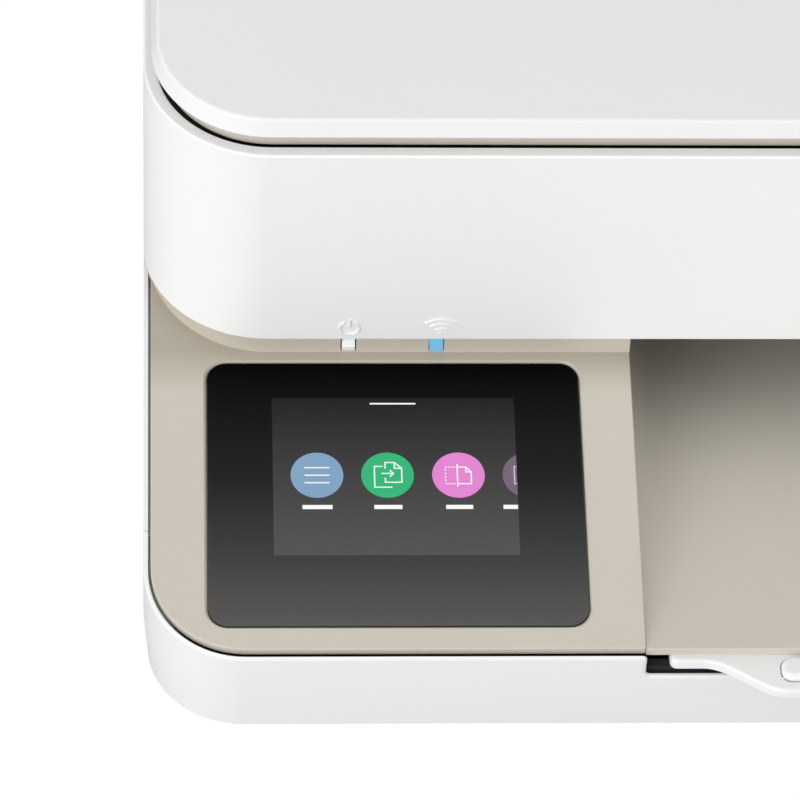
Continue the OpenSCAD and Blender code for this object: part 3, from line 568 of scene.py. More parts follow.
def glass_painted_reflection_material():
    """Black glass painted lighter towards its front edge: a painted reflection of a soft light in front."""
    g = Graph("gloss_black")
    forward = g.span(g.along("Y"), 1.0, 0.0, low("touch_glass").y * MM, high("touch_glass").y * MM)
    ramp = g.add("ShaderNodeValToRGB")
    stops = ramp.color_ramp.elements
    stops[0].position, stops[0].color = 0.0, linear((1, 1, 2))
    stops[1].position, stops[1].color = 1.0, linear((90, 89, 88))
    for position, rgb in ((0.45, (36, 36, 37)), (0.75, (66, 66, 66))):
        stops.new(position).color = linear(rgb)
    g.link(forward, ramp.inputs["Fac"])
    g.colour(g.mix(g.span(g.noise(9), 0, 0.03), ramp.outputs["Color"], linear((60, 60, 60))))
    g.roughness(g.noise(40), 0.2, 0.26)
    g.bump(g.noise(1800, 1), 0.02, 0.002)
    g.set(Specular_IOR_Level=0.02)
    return g


def display_painted_reflection_material():
    """The lit area of the screen, painted lighter towards its front edge: a painted reflection, as on the
    glass.
    """
    g = Graph("display_area")
    front, back = screen(0, 0, 0)[1], screen(0, DISPLAY_H, 0)[1]
    forward = g.span(g.along("Y"), 1.0, 0.0, front * MM, back * MM)
    g.colour(g.mix(forward, linear((31, 32, 33)), linear((85, 85, 84))))
    g.roughness(g.noise(40), 0.22, 0.28)
    g.set(Specular_IOR_Level=0.08)
    return g


def clear_material(name, rgb, rough, clear):
    g = Graph(name)
    g.colour(g.mix(g.span(g.noise(20), 0, 1), shade(rgb, 0.98), shade(rgb, 1.0)))
    g.roughness(g.noise(60), rough, rough + 0.03)
    g.set(Transmission_Weight=clear, IOR=1.46)
    return g


def foam_material():
    g = Graph("white_foam")
    cells = g.add("ShaderNodeTexVoronoi", Scale=1400.0)
    g.link(g.place, cells.inputs["Vector"])
    g.colour(g.mix(g.span(g.noise(25), 0, 1), shade((236, 236, 234), 0.97), shade((240, 240, 238), 1)))
    g.roughness(cells.outputs["Distance"], 0.8, 0.95, 0, 0.6)
    g.bump(cells.outputs["Distance"], 0.5, 0.05)
    g.set(Specular_IOR_Level=0.2)
    return g


def lit(name, rgb, strength, top=None, split=None):
    """A lit part: emission with a slight drift, and optionally a second colour above height split."""
    g = Graph(name)
    glow = g.mix(g.span(g.noise(60), 0, 1), shade(rgb, 0.96), shade(rgb, 1.03))
    if top:
        glow = g.mix(g.span(g.along("Z"), 0, 1, split * MM, (split + 0.9) * MM), glow, linear(top))
    g.link(glow, g.shader.inputs["Emission Color"])
    g.colour(g.mix(g.span(g.noise(80), 0, 1), shade(rgb, 0.1), shade(rgb, 0.12)))
    g.roughness(g.noise(100), 0.3, 0.35)
    g.set(Emission_Strength=strength, Specular_IOR_Level=0.1)
    return g


build_materials()


def finish_piece(obj, body, slot, nodes, material=None, rounding=None):
    """Gives a built piece its place in the assembly, its finish and its shading."""
    if rounding:
        round_edges(obj, rounding)
    smooth(obj)
    obj.data.materials.clear()
    obj.data.materials.append((material or MATERIALS[slot]).mat)
    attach(obj, body)
    if nodes:
        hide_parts(*nodes)


# ---- outlines ----


def base_plan(inset):
    return rounded(-X_OUT, X_OUT, Y_FRONT, Y_BACK, [BASE_R, BASE_R, UPPER_R, UPPER_R], inset, 16)


def upper_plan(inset):
    return rounded(-X_OUT, X_OUT, UPPER_Y, Y_BACK, UPPER_R, inset, 18)


def front_path(s, inset, front, r):
    """Point on a front with corners of radius r, moved in by inset, and how squarely it faces forward.

    s runs along the outline from the middle of the front.
    """
    half = X_OUT - r
    turn = r * math.pi / 2
    a, sign = abs(s), (1 if s >= 0 else -1)
    if a <= half:
        x, y, nx, ny = a, front, 0, -1
    elif a <= half + turn:
        t = (a - half) / r
        x, y, nx, ny = half + r * math.sin(t), front + r - r * math.cos(t), math.sin(t), -math.cos(t)
    else:
        x, y, nx, ny = X_OUT, front + r + a - half - turn, 1, 0
    return sign * (x - nx * inset), y - ny * inset, -ny


def upper_path(s, inset):
    return front_path(s, inset, UPPER_Y, UPPER_R)[:2]


def base_path(s, inset):
    return front_path(s, inset, Y_FRONT, BASE_R)


# ---- lid ----


def build_lid():
    """The lid, rounded at the back about its hinge line, and the pad under it."""
    r = (LID_Z1 - LID_Z0) / 2
    # (inset, height), from the underside over the sloping side to the top
    profile = [(3.6, LID_Z0 + 0.02), (2.1, LID_Z0 + 0.02), (1.75, LID_Z0 + 0.2), (1.6, LID_Z0 + 0.5)]
    profile += quarter(2.5, LID_Z1 - 0.75, 3.3, LID_Z1, 6) + [(5.5, LID_Z1)]
    rings = []
    for d, z in profile:
        back = LID_AXIS_Y + math.sqrt(max(r * r - (z - LID_AXIS_Z) ** 2, 0.01))
        if d > 3.4:
            back = LID_AXIS_Y - 1.0
        ring = rounded(-X_OUT + d, X_OUT - d, UPPER_Y + d, back, UPPER_R - d, 0, 18)
        rings.append([(x, y, z) for x, y in ring])
    lid = mesh_object("lid_top", *skin(rings))
    for s in (-1, 1):
        x = s * BRACKET_X
        cut(lid, box("slot", x - 4, x + 4, LID_AXIS_Y - 4.5, Y_BACK + 1, LID_Z0 - 1, LID_Z1 + 1))
        cut(lid, tube("bore", "x", (LID_AXIS_Y, LID_AXIS_Z), 1.06, x - 9.4, x + 9.4))
    finish_piece(lid, "lid", "white_plastic", ["lid_cover"])

    a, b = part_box("lid_pad")
    a, b = a / MM, b / MM
    pad = soft_box("lid_backing_pad", a.x, b.x, a.y, b.y, a.z, b.z - 0.01, 0.7, 3.5)
    finish_piece(pad, "lid", "white_foam", ["lid_pad"])


# ---- scanner unit ----


def build_scanner():
    """The scanner unit's white case, its sand bezel, and the raised marks over the lights."""
    z0, z1 = SHELL_Z0, SHELL_Z1
    profile = under(0.6, z0, 0, z0 + 0.5, 4) + quarter(0, z1 - 0.55, 0.5, z1, 5)
    profile += [(SHELL_WALL - 0.25, z1), (SHELL_WALL, z1 - 0.25)]
    profile += [(SHELL_WALL, z0 + 0.2), (SHELL_WALL - 0.2, z0)]
    case = plate("scanner_case", upper_plan, profile, loop=True)
    cut(case, box("notch", -X_OUT - 2, X_OUT + 2, REAR_Y - 1, Y_BACK + 2, z0 - 2, REAR_Z + 1))
    for s in (-1, 1):
        x = s * BRACKET_X
        cut(case, box("slot", x - 5.5, x + 5.5, Y_BACK - 4, Y_BACK - 2, 100, 130))
    finish_piece(case, "scanner_unit", "white_plastic", ["scanner_shell"], MATERIALS["white_shell_painted_light"])
    build_ears()

    glass_x = high("scan_glass").x + 0.2
    y0, y1 = low("scan_glass").y - 0.2, high("scan_glass").y + 0.2
    rings = []
    top = BEZEL_Z1
    rim = [(6.6, z1 - 2.4), (6.6, z1 - 0.9), (3.95, z1 - 0.8)] + quarter(3.85, top - 0.7, 4.5, top, 5)
    for d, z in rim:
        rings.append([(x, y, z) for x, y in upper_plan(d)])
    # the opening over the glass, with a ledge that holds it
    opening = [(3.6, top), (4.0, top - 0.4), (4.0, z1 + 1.0), (0.0, z1 + 1.0), (0.0, z1 - 2.4)]
    for d, z in opening:
        rings.append([(x, y, z) for x, y in rounded(-glass_x, glass_x, y0, y1, 1.5, d, 18)])
    bezel = mesh_object("scanner_bezel", *skin(rings, True))
    for s in (-1, 1):
        x = s * BRACKET_X
        cut(bezel, box("slot", x - 5.5, x + 5.5, Y_BACK - 6.8, Y_BACK, 100, 130))
    cut(bezel, box("recess", -150, 150, LID_AXIS_Y - 3, Y_BACK, top - 0.6, top + 1))
    finish_piece(bezel, "scanner_unit", "sand_plastic", ["glass_bezel"])

    # a broken ring with a bar, and three arcs over a dot
    x, z = POWER_LIGHT_X + 0.1, SHELL_Z0 + 3.7
    power = [arc(x, z, 1.95, 122, 418, 28), [(x, z + 0.4), (x, z + 2.35)]]
    x, z = WIRELESS_LIGHT_X + 0.5, SHELL_Z0 + 1.95
    wireless = [arc(x, z, r, 45, 135, 14) for r in (1.5, 2.9, 4.3)]
    wireless.append([(x - 0.28, z + 0.1), (x + 0.28, z + 0.1)])
    for name, lines, width in (("power_icon", power, 0.5), ("wireless_icon", wireless, 0.52)):
        mark = line_art(name, lines, width, -0.05, 0.3, on_face)
        finish_piece(mark, "scanner_unit", "white_plastic", [], MATERIALS["relief"])


def build_ears():
    """Hinge ears under the scanner unit's back, one object of four plates with round holes."""
    parts = []
    n, ear_r, hole_r = 40, 4.6, 3.05
    top = low("scanner_pan").z + 0.1
    for s in (-1, 1):
        for e in (-5, 4.5):
            x = s * HINGE_X + e
            outer, hole = [], []
            for k in range(n):
                t = 2 * math.pi * k / n + math.pi / 4
                c, q = math.cos(t), math.sin(t)
                reach = ear_r
                if q > 0:
                    reach = min((top - ACCESS_Z) / q, ear_r / abs(c) if abs(c) > 1e-6 else 99)
                outer.append((ACCESS_Y + reach * c, ACCESS_Z + reach * q))
                hole.append((ACCESS_Y + hole_r * c, ACCESS_Z + hole_r * q))
            a, b = x - 1.8, x + 1.8
            walls = ((a, outer), (b, outer), (b, hole), (a, hole))
            parts.append(skin([[(at, y, z) for y, z in ring] for at, ring in walls], True))
    ears = mesh_object("hinge_ears", *gather(parts))
    finish_piece(ears, "scanner_unit", "white_plastic", ["scanner_shell"], rounding=0.3)


# ---- base: deck, bay and strip ----


def glass_outline(grow):
    """The touch glass's outline on the deck, made larger by grow."""
    v0, v1 = GLASS_UP - grow, GLASS_UP + GLASS_L + grow
    return rounded(GLASS_X0 - grow, GLASS_X1 + grow, v0, v1, GLASS_R + grow, 0, 12)


def build_deck():
    """The sloping panels left and right of the bay; the left one has a pocket for the glass."""
    length = (UPPER_Y + UPPER_R - 2 - DECK_Y) / math.cos(DECK_SLOPE)
    profile = [(0.25, -DECK_T), (0.0, -DECK_T + 0.2)] + quarter(0, -EDGE, EDGE, 0, 4)
    outer_x, r = X_OUT - DECK_IN, BASE_R - DECK_IN

    def panel(name, x0, x1, radii):
        return plate(name, lambda d: rounded(x0, x1, DECK_BACK, length, radii, d, 14), profile, on_deck)

    left = panel("deck_panel_left", -outer_x, -BAY_X, [r, 0.5, 0.5, 1])
    sides = [(0, -1.3), (0, -0.5), (-0.5, 0.0), (-0.51, 4)]
    cut(left, plate("pocket", lambda d: glass_outline(0.28 - d), sides, on_deck))
    # way through for the display module under the glass
    window_v = (GLASS_UP + 11, GLASS_UP + GLASS_L - 4)
    cut(left, box("window", GLASS_X0 + 6, GLASS_X1 - 6, *window_v, -5, 5, on_deck))
    right = panel("deck_panel_right", BAY_X, outer_x, [0.5, r, 1, 0.5])
    for side in (left, right):
        finish_piece(side, "base", "sand_plastic", ["front_deck"], MATERIALS["deck"])
    build_bay()
    build_strips()


def build_bay():
    """The output bay's floor and side walls: one solid of U-shaped cross-sections."""
    up, down = math.tan(DECK_SLOPE), math.tan(BAY_SLOPE)
    crest = [(0.0, EDGE), (0.023, 0.185), (0.088, 0.088), (0.185, 0.023), (EDGE, 0.0)]
    runs = [1.5, 2.5, 4, 6, 9, 13, 18, 24, 32, 42, 54, 68, 84, 100, 116, 130.5]
    stations = [(DECK_BACK + dy, drop) for dy, drop in crest] + [(dy, 0.0) for dy in runs]
    deck_end = 92  # the side walls stop rising here
    corner_r, floor_t = 6.0, 1.6
    angles = [math.pi / 2 * k / 7 for k in range(8)]
    rings = []
    for dy, drop in stations:
        y = DECK_Y + dy
        floor = DECK_Z - dy * down - drop
        wall = min(dy, deck_end) * up + dy * down
        r = max(min(corner_r, 0.92 * wall), 0.01)
        deck = DECK_Z + min(dy, deck_end) * up
        bottom = floor - floor_t
        flange_x = BAY_X + 0.01 + 2 * min(max((dy - 3) / 3, 0), 1)
        top = max(floor + r, deck - DECK_T - 0.05)
        flange = max(min(deck - DECK_T - 0.05, top - 0.01), bottom + 0.1)
        half = [(flange_x, bottom), (flange_x, flange), (BAY_X + 0.005, flange), (BAY_X, top)]
        half += [(BAY_X - r * (1 - math.cos(a)), floor + r * (1 - math.sin(a))) for a in angles]
        half += [(80, floor), (40, floor)]
        ring = [(-x, y, z) for x, z in half] + [(0, y, floor)] + [(x, y, z) for x, z in reversed(half)]
        rings.append(ring)
    bay = mesh_object("bay_scoop", *skin(rings))
    finish_piece(bay, "base", "sand_plastic", ["front_deck"])


def deck_height(y):
    """The deck's top, carried on to any y."""
    return DECK_Z + (y - DECK_Y) * math.tan(DECK_SLOPE)


def build_strips():
    """Sand strip between the deck and the scanner unit; it runs out where the deck has risen to it."""
    half = X_OUT - UPPER_R
    turn = UPPER_R * math.pi / 2
    top = STRIP_TOP
    for sign, name in ((-1, "deck_strip_left"), (1, "deck_strip_right")):
        path = [BAY_X, BAY_X + 0.12, BAY_X + 0.5, BAY_X + 20, 150, 165, 180, half - 0.5]
        path += [half + turn * k / 16 for k in range(17)]
        rings = []
        for i, s in enumerate(path):
            base = min(deck_height(upper_path(s, STRIP_IN)[1]) - STRIP_SUNK, top - 0.65)
            # the end beside the bay is rounded by pulling its first sections in
            face = STRIP_IN + ([0.12, 0.03, 0][i] if i < 3 else 0)
            section = [
                (face - 0.18, base), (face - 0.18, base + 0.3), (face, base + 0.42), (face, top - 0.2),
                (face + 0.2, top), (2.7, top), (2.8, top - 0.2), (2.8, base),
            ]
            rings.append([(*upper_path(sign * s, d), z) for d, z in section])
        strip = mesh_object(name, *skin(rings))
        if sign < 0:
            for x in (POWER_LIGHT_X, WIRELESS_LIGHT_X):
                w = LIGHT_W / 2 + LIGHT_GAP
                cut(strip, box("slot", x - w, x + w, UPPER_Y - 2, UPPER_Y + 6, LIGHT_Z0 - 0.07, top + 2))
        finish_piece(strip, "base", "sand_plastic", ["front_deck"], MATERIALS["strip"])


def build_lights():
    """Two light bars in the strip, each with a fold below its middle."""
    white = plastic(
        "power_light", (236, 237, 240), 0.25, spread=0.01, Emission_Color=(1, 1, 1, 1), Emission_Strength=0.08)
    blue = lit("wireless_light", (120, 184, 224), 0.9, (88, 200, 236), STRIP_TOP - 1.5)
    front, top = UPPER_Y + 0.5, STRIP_TOP - 0.06
    fold = LIGHT_Z0 + (top - LIGHT_Z0) * 0.42
    side = [
        (front + 0.35, LIGHT_Z0), (front - 0.15, fold), (front + 1.3, top),
        (front + 4.3, top), (front + 4.3, LIGHT_Z0),
    ]
    cy = sum(p[0] for p in side) / len(side)
    cz = sum(p[1] for p in side) / len(side)
    w, ease = LIGHT_W / 2, 0.12
    for x, name, material in (
        (POWER_LIGHT_X, "power_light_bar", white), (WIRELESS_LIGHT_X, "wireless_light_bar", blue),
    ):
        rings = []
        for dx, shrink in ((-w, 0.012), (-w + ease, 0), (w - ease, 0), (w, 0.012)):
            rings.append([(x + dx, y + (cy - y) * shrink, z + (cz - z) * shrink) for y, z in side])
        bar = mesh_object(name, *skin(rings))
        finish_piece(bar, "base", "light_pipe", ["indicator_lights"], material)


# ---- touch screen ----


def build_screen():
    """The glass, and thin lit layers on it: the display's area, tiles, icons and bars."""
    profile = [(0.2, -1.25), (0, -1.1)] + quarter(0, -0.32, 0.22, -0.1, 4)
    glass = plate("touch_glass_panel", lambda d: glass_outline(-d), profile, on_deck)
    finish_piece(glass, "base", "gloss_black", ["touch_glass"])

    h = -0.1
    w, lift = 0.26, (h + 0.012, h + 0.024)
    tile_sides = [(0, h), (0, h + 0.012), (0.02, h + 0.014)]

    def layer(piece, material):
        finish_piece(piece, "base", "gloss_black", [], material)

    def draw(name, lines, width=w, material=None):
        layer(line_art(name, lines, width, *lift, screen), material or ink)

    area_sides = [(0, h - 0.02), (0, h + 0.004), (0.01, h + 0.006)]
    layer(plate("display_area", lambda d: rounded(0, DISPLAY_W, 0, DISPLAY_H, 0.3, d, 4), area_sides, screen),
          display_painted_reflection_material())

    v, r = TILE_V, TILE_R
    colours = ((135, 168, 201), (56, 186, 124), (232, 138, 214))
    for u, rgb, name, tint in zip(TILE_U, colours, ("menu", "copy", "scan"), ("blue", "green", "pink")):
        disc = plate(name + "_tile", lambda d, u=u: arc(u, v, r - d, 0, 352.5, 47), tile_sides, screen)
        layer(disc, lit("tile_" + tint, rgb, 0.85))
    # the fourth tile is cut off by the display's edge
    half = math.degrees(math.acos((NEXT_TILE_U - DISPLAY_W) / r))
    cut_sides = [(0, h), (0, h + 0.012), (0.01, h + 0.014)]
    part = plate(
        "next_tile", lambda d: arc(NEXT_TILE_U, v, r - d, 180 - half, 180 + half, 24), cut_sides, screen)
    layer(part, lit("tile_grey", (126, 108, 128), 0.8))

    ink = lit("screen_white", (244, 245, 246), 0.95)
    dim = lit("screen_dim", (206, 198, 208), 0.85)
    u = TILE_U[0]
    draw("menu_icon", [[(u - 2.5, v + k), (u + 2.5, v + k)] for k in (-1.75, 0, 1.75)], 0.28)

    # two sheets with an arrow
    u = TILE_U[1]
    back = [(u + 0.9, v - 2.8), (u - 2.6, v - 2.8), (u - 2.6, v + 2.05), (u - 0.95, v + 2.05)]
    front = [
        (u - 0.45, v + 1.5), (u - 0.45, v + 2.95), (u + 1.4, v + 2.95), (u + 2.85, v + 1.6),
        (u + 2.85, v - 1.65), (u - 0.45, v - 1.65), (u - 0.45, v - 0.6),
    ]
    fold = [(u + 1.4, v + 2.85), (u + 1.4, v + 1.6), (u + 2.75, v + 1.6)]
    arrow = [(u - 1.2, v + 0.4), (u + 1.15, v + 0.4)]
    tip = [(u + 0.45, v + 1.15), (u + 1.2, v + 0.4), (u + 0.45, v - 0.35)]
    draw("copy_icon", [back, front, fold, arrow, tip])

    # a sheet half dashed, half solid, and the line that crosses it
    u = TILE_U[2]
    dashes = []
    for k in range(4):
        x, y = u - 0.62 - k * 0.56, v + 1.4 - k * 0.8
        dashes += [[(x, level), (x - 0.3, level)] for level in (v + 1.87, v - 2.0)]
        dashes.append([(u - 2.6, y), (u - 2.6, y - 0.4)])
    solid = [
        (u - 0.05, v + 1.87), (u + 1.5, v + 1.87), (u + 2.55, v + 0.75),
        (u + 2.55, v - 2.0), (u - 0.05, v - 2.0),
    ]
    fold = [(u + 1.5, v + 1.77), (u + 1.5, v + 0.75), (u + 2.45, v + 0.75)]
    bar = [(u - 0.22, v + 2.6), (u - 0.22, v - 2.7)]
    draw("scan_icon", dashes + [solid, fold, bar])

    # plain bars in place of the words: (middle, half length)
    labels = ((TILE_U[0], 3.0), (TILE_U[1], 2.8), (TILE_U[2], 2.7), (47.3, 1.45))
    draw("label_bars", [[(c - half, 11.1), (c + half, 11.1)] for c, half in labels], 0.95)
    draw("slide_bar", [[(24.3 - 4.6, 35.3), (24.3 + 4.6, 35.3)]], 0.36)
    page = [(48.75, v + 2.0), (48.3, v + 2.0), (48.3, v - 2.0), (48.75, v - 2.0)]
    draw("next_icon", [page], w, dim)


# ---- drawer front ----


def build_fascia():
    """The drawer's white front: one section swept round the corners, lowered at the notch."""
    half = X_OUT - BASE_R
    turn = BASE_R * math.pi / 2
    end = half + turn + (SEAM_Y - Y_FRONT - BASE_R)
    edge_h, edge_d = 0.9, 0.5
    lip, hollow, side_step = 0.8, NOTCH_Z - 2.4, 42.4

    # place along the outline, height, normal there, rim thickness, height of the step behind it
    stations = []

    def level(a):
        _, y, across = base_path(a, 0)
        thick = 0.93 - 0.33 * max(across, 0)
        z = deck_height(y) - RIM_DROP
        stations.append((a, z, 0.0, 1.0, thick, z - 2.6))

    z_top = deck_height(Y_FRONT) - RIM_DROP
    r = 1.0
    for a in [end, end - 0.35, end - 3, half + turn + 3]:
        level(a)
    for k in range(18, -1, -1):
        level(half + turn * k / 18)
    for a in (180, 160, 140, 125):
        level(a)
    # round over the notch's upper corner, down its side and round into its floor
    cx, cz = NOTCH_X + r, z_top - r
    for k in range(7):
        a = math.radians(90 * k / 6)
        s, z = cx - r * math.sin(a) + 0.02, cz + r * math.cos(a)
        stations.append((s, z, -math.sin(a), math.cos(a), 0.6, side_step))
    cx, cz = NOTCH_X - r, NOTCH_Z + r
    for k in range(7):
        a = math.radians(90 * k / 6)
        s, z = cx + r * math.cos(a), cz - r * math.sin(a)
        stations.append((s, z, -math.cos(a), math.sin(a), lip, hollow))
    stations += [(s, NOTCH_Z, 0, 1, lip, hollow) for s in (90, 40, 0)]
    both = [(-s, z, -ns, nz, thick, step) for s, z, ns, nz, thick, step in stations]
    both += reversed(stations[:-1])

    fillet = quarter(0, edge_h, edge_d, 0, 5)
    foot, draft, draft_h = BAND_FOOT + 0.45, 0.85, 12
    rings = []
    for s, z, ns, nz, thick, step in both:
        s_low = s - ns * edge_h
        section = [(s_low, draft + 0.5, BAND_FOOT), (s_low, draft + 0.18, BAND_FOOT + 0.1)]
        section.append((s_low, draft, foot))
        section += [(s_low, draft * (1 - share), foot + draft_h * share) for share in (0.5, 1)]
        section += [(s - ns * e, d, z - nz * e) for d, e in fillet]
        ledge = min(step, z - 0.25)
        section += [(s, thick, z), (s, thick, ledge), (s, WALL, ledge - 0.01), (s, WALL, BAND_FOOT)]
        rings.append([(*base_path(at, d)[:2], h) for at, d, h in section])
    fascia = mesh_object("drawer_fascia", *skin(rings))
    finish_piece(fascia, "drawer", "white_plastic", ["drawer_front"])


# ---- rear case ----


def build_case():
    """The white sides and back behind the drawer's seams, and the ledge over the hinge."""
    z0, z1 = BAND_FOOT, REAR_Z
    profile = [(0.85, z0), (0.85, z0 + 0.2), (0.45, z0 + 9.5), (0.0, z0 + 20)]
    profile += [(0.0, z1), (WALL, z1), (WALL, z0)]
    case = plate("rear_case", base_plan, profile, loop=True)
    far, above = X_OUT + 5, 200
    cut(case, box("front", -far, far, Y_FRONT - 5, SEAM_Y + 0.4, 0, above))
    cut(case, box("middle", -far, far, Y_FRONT - 10, REAR_Y, SHELL_Z0 - 0.5, above))
    cut(case, box("back", -far, far, ACCESS_Y - 3, Y_BACK + 5, REAR_BACK_Z, above))
    cut(case, box("slope", -far, far, -40, 112.5, -RIM_DROP, 60, on_deck))
    # room for the deck, which lies inside the rim
    deck_x = X_OUT - DECK_IN + SEAM
    length = (-60 - DECK_Y) / math.cos(DECK_SLOPE)
    radii = [BASE_R - DECK_IN + SEAM] * 2 + [1, 1]
    room = plate("room", lambda d: rounded(-deck_x, deck_x, -SEAM, length, radii, d, 12),
                 [(0, -DECK_T - 0.5), (0, 20)], on_deck)
    cut(case, room)
    through = (Y_BACK - 5, Y_BACK + 1)
    cut(case, box("inlet", *INLET_X, *through, PORT_Z - 0.4, PORT_Z + 12.6))
    cut(case, box("usb", *USB_X, *through, PORT_Z - 0.4, PORT_Z + 11.6))
    cut(case, tube("button", "y", (BUTTON_X, BUTTON_Z), BUTTON_HOLE_R, *through, 40))
    for i in range(VENTS):
        x = VENT_X + i * VENT_PITCH
        cut(case, box("vent", x, x + VENT_W, *through, *VENT_Z))
    finish_piece(case, "base", "white_plastic", ["base_shell"], rounding=0.35)

    y0, y1 = ACCESS_Y - 10, Y_BACK - WALL - 0.02
    ledge = box("rear_ledge", -190, 190, y0, y1, REAR_BACK_Z - 1.5, REAR_BACK_Z - 0.02)
    for s in (-1, 1):
        cut(ledge, box("gap", s * HINGE_X - 3, s * HINGE_X + 3, ACCESS_Y - 5, ACCESS_Y, 0, 100))
    finish_piece(ledge, "base", "white_plastic", ["base_shell"], rounding=0.3)


# ---- output extender and its paper stop ----


def build_extender():
    """The extender with its wavy front edge, and the folded paper stop in a recess on it."""
    grip_x0, grip_x1, grip_out = 90, 106, Y_FRONT - low("tray_extender").y
    shoulder = 0.9  # how far the edge beside the grip stands before the floor's front edge

    def edge(x):
        t = min(1, max(0, (grip_x1 - abs(x)) / (grip_x1 - grip_x0)))
        return -(grip_out - 0.16) * t * t * (3 - 2 * t) - shoulder

    xs = [grip_x1 - (grip_x1 - grip_x0) * k / 16 for k in range(17)]
    left = [(-x, edge(x)) for x in xs]
    right = [(x, edge(x)) for x in reversed(xs)]
    corner = [(111.0, -shoulder), (111.7, -0.8), (112.2, -0.45), (112.5, 0.1), (EXT_X, 0.9)]
    mirror = [(-x, y) for x, y in reversed(corner)]
    points = left + [(0, edge(0))] + right + corner + [(EXT_X, 125), (-EXT_X, 125)] + mirror
    profile = under(0.4, EXT_LOW, 0, EXT_LOW + 0.4, 3) + quarter(0, EXT_TOP - 0.7, 0.7, EXT_TOP, 5)
    tongue = plate("extender_tray", lambda d: offset_loop(points, d), profile, on_floor)
    gap = 0.15
    recess = plate("recess", lambda d: rounded(-STOP_X - gap, STOP_X + gap, -6.6, -0.1, STOP_RADII, d, 6),
                   [(0, EXT_TOP - 1.3), (0, EXT_TOP + 3)], on_floor)
    cut(tongue, recess)
    finish_piece(tongue, "extender", "white_plastic", ["tray_extender"], rounding=0.18)

    h0, h1 = EXT_TOP - 0.8, EXT_TOP + 1.1
    profile = under(0.3, h0, 0, h0 + 0.3, 3) + quarter(0, h1 - 1.1, 1.3, h1, 6)
    stop = plate(
        "stop_bar", lambda d: rounded(-STOP_X, STOP_X, -6.2, -0.3, STOP_RADII, d, 8), profile, on_floor)
    finish_piece(stop, "paper_stop", "white_plastic", ["paper_stop"])
    pin_r, pin_h = 0.25, EXT_TOP - 0.36
    circle = [(pin_r * math.cos(a), pin_r * math.sin(a)) for a in [2 * math.pi * k / 16 for k in range(16)]]
    parts = []
    for ends in ((-93.4, -90.0), (90.0, 93.4)):
        parts.append(skin([[on_floor(x, PIN_V + v, pin_h + h) for v, h in circle] for x in ends]))
    pins = mesh_object("stop_pins", *gather(parts))
    finish_piece(pins, "paper_stop", "white_plastic", ["paper_stop"], rounding=0.08)


build_lid()
build_scanner()
build_deck()
build_lights()
build_screen()
build_fascia()
build_case()
build_extender()

# ---- CAD nodes that stay as they are, with rounded edges and their finish ----

REPLACED = {
    "lid_cover", "lid_pad", "scanner_shell", "glass_bezel", "front_deck", "touch_glass", "indicator_lights",
    "drawer_front", "base_shell", "tray_extender", "paper_stop",
}
ROUNDING = {
    "carriage_rod": 0.4, "encoder_strip": 0.05, "scan_glass": 0.15, "star_wheels": 0.05, "guide_pinion": 0.08,
    "feed_gear": 0.12, "idler_gear": 0.12, "output_gear": 0.12, "motor_pinion": 0.1, "chassis_screws": 0.15,
    "main_frame": 0.2, "power_button": 0.5, "rubber_feet": 0.6, "base_pan": 0.6,
}
USUAL_ROUNDING = 0.3
slot_of = {s["node"]: s["material_slot"] for s in frame["record"]["subparts"]}
for node, obj in frame["nodes"].items():
    if node in REPLACED:
        continue
    weld = obj.modifiers.new("weld", "WELD")
    weld.merge_threshold = 2e-6
    bevel = obj.modifiers.new("round", "BEVEL")
    bevel.width = ROUNDING.get(node, USUAL_ROUNDING) * MM
    bevel.segments = 2
    bevel.limit_method = "ANGLE"
    bevel.angle_limit = math.radians(35)
    bevel.use_clamp_overlap = True
    bevel.harden_normals = True
    obj.data.materials.clear()
    obj.data.materials.append(MATERIALS[slot_of[node]].mat)

# ---- floor, light and camera ----


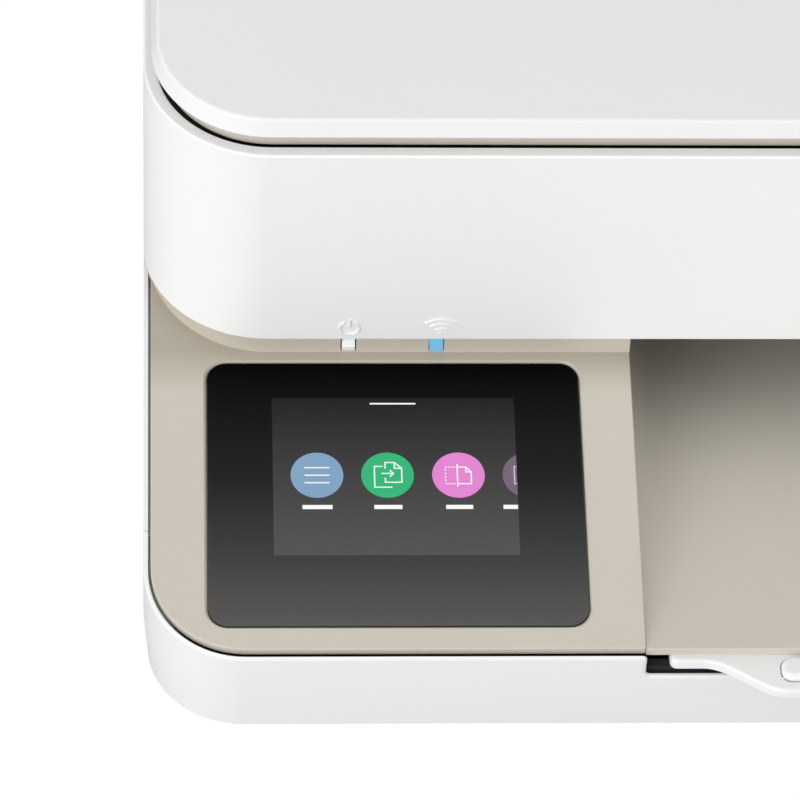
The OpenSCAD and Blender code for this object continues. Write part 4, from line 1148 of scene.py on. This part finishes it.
def build_stage():
    """A pale floor that shows as plain white, and a sky that is brighter above than below."""
    size = 6.0
    corners = [(-size, -size, 0), (size, -size, 0), (size, size, 0), (-size, size, 0)]
    mesh = bpy.data.meshes.new("floor")
    mesh.from_pydata(corners, [], [(0, 1, 2, 3)])
    floor = bpy.data.objects.new("floor", mesh)
    bpy.context.scene.collection.objects.link(floor)
    g = Graph("floor")
    g.colour(g.mix(g.span(g.noise(2), 0, 1), shade((20, 20, 20), 1), shade((26, 26, 26), 1)))
    g.set(Emission_Color=(1, 1, 1, 1), Emission_Strength=1.0, Roughness=0.9, Specular_IOR_Level=0.0)
    mesh.materials.append(g.mat)
    floor.visible_diffuse = False
    floor.visible_glossy = False

    world = bpy.data.worlds.new("studio")
    bpy.context.scene.world = world
    world.use_nodes = True
    back = world.node_tree.nodes["Background"]
    back.inputs["Strength"].default_value = 1.0
    tree = world.node_tree
    place = tree.nodes.new("ShaderNodeTexCoord")
    parts = tree.nodes.new("ShaderNodeSeparateXYZ")
    span = tree.nodes.new("ShaderNodeMapRange")
    for socket, value in (("From Min", -0.25), ("From Max", 0.2), ("To Min", 0.45), ("To Max", 0.73)):
        span.inputs[socket].default_value = value
    tree.links.new(place.outputs["Generated"], parts.inputs[0])
    tree.links.new(parts.outputs["Z"], span.inputs["Value"])
    tree.links.new(span.outputs["Result"], back.inputs["Color"])


def area_light(name, place, target, size, power):
    data = bpy.data.lights.new(name, "AREA")
    data.shape = "RECTANGLE"
    data.size, data.size_y = size
    data.energy = power
    lamp = bpy.data.objects.new(name, data)
    bpy.context.scene.collection.objects.link(lamp)
    lamp.location = place
    direction = Vector(target) - Vector(place)
    lamp.rotation_mode = "QUATERNION"
    lamp.rotation_quaternion = direction.to_track_quat("-Z", "Y")


def build_camera():
    """The photograph's view: a long lens, looking down at the front left corner."""
    data = bpy.data.cameras.new("camera")
    data.sensor_width = 36
    data.lens = 232.69
    data.clip_start, data.clip_end = 0.05, 20
    cam = bpy.data.objects.new("camera", data)
    bpy.context.scene.collection.objects.link(cam)
    tilt, turn = math.radians(49.448), math.radians(2.71)
    forward = Vector((0, math.cos(tilt), -math.sin(tilt)))
    right = Vector((1, 0, 0))
    up = Vector((0, math.sin(tilt), math.cos(tilt)))
    ahead = forward * math.cos(turn) + right * math.sin(turn)
    side = right * math.cos(turn) - forward * math.sin(turn)
    basis = Matrix((side, up, -ahead)).transposed().to_4x4()
    # from over the deck's front left corner
    place = Vector((-X_OUT + 2.36, Y_FRONT - 618.3, DECK_Z + 799.63)) * MM
    cam.matrix_world = Matrix.Translation(place) @ basis
    bpy.context.scene.camera = cam


build_stage()
area_light("key", (-1.2, -1.55, 0.72), (0, -0.05, 0.06), (1.6, 1.0), 20.5)
area_light("fill", (1.5, -0.6, 1.4), (0, 0, 0.06), (1.4, 1.4), 1.5)
build_camera()
bpy.context.scene.view_settings.view_transform = "Standard"
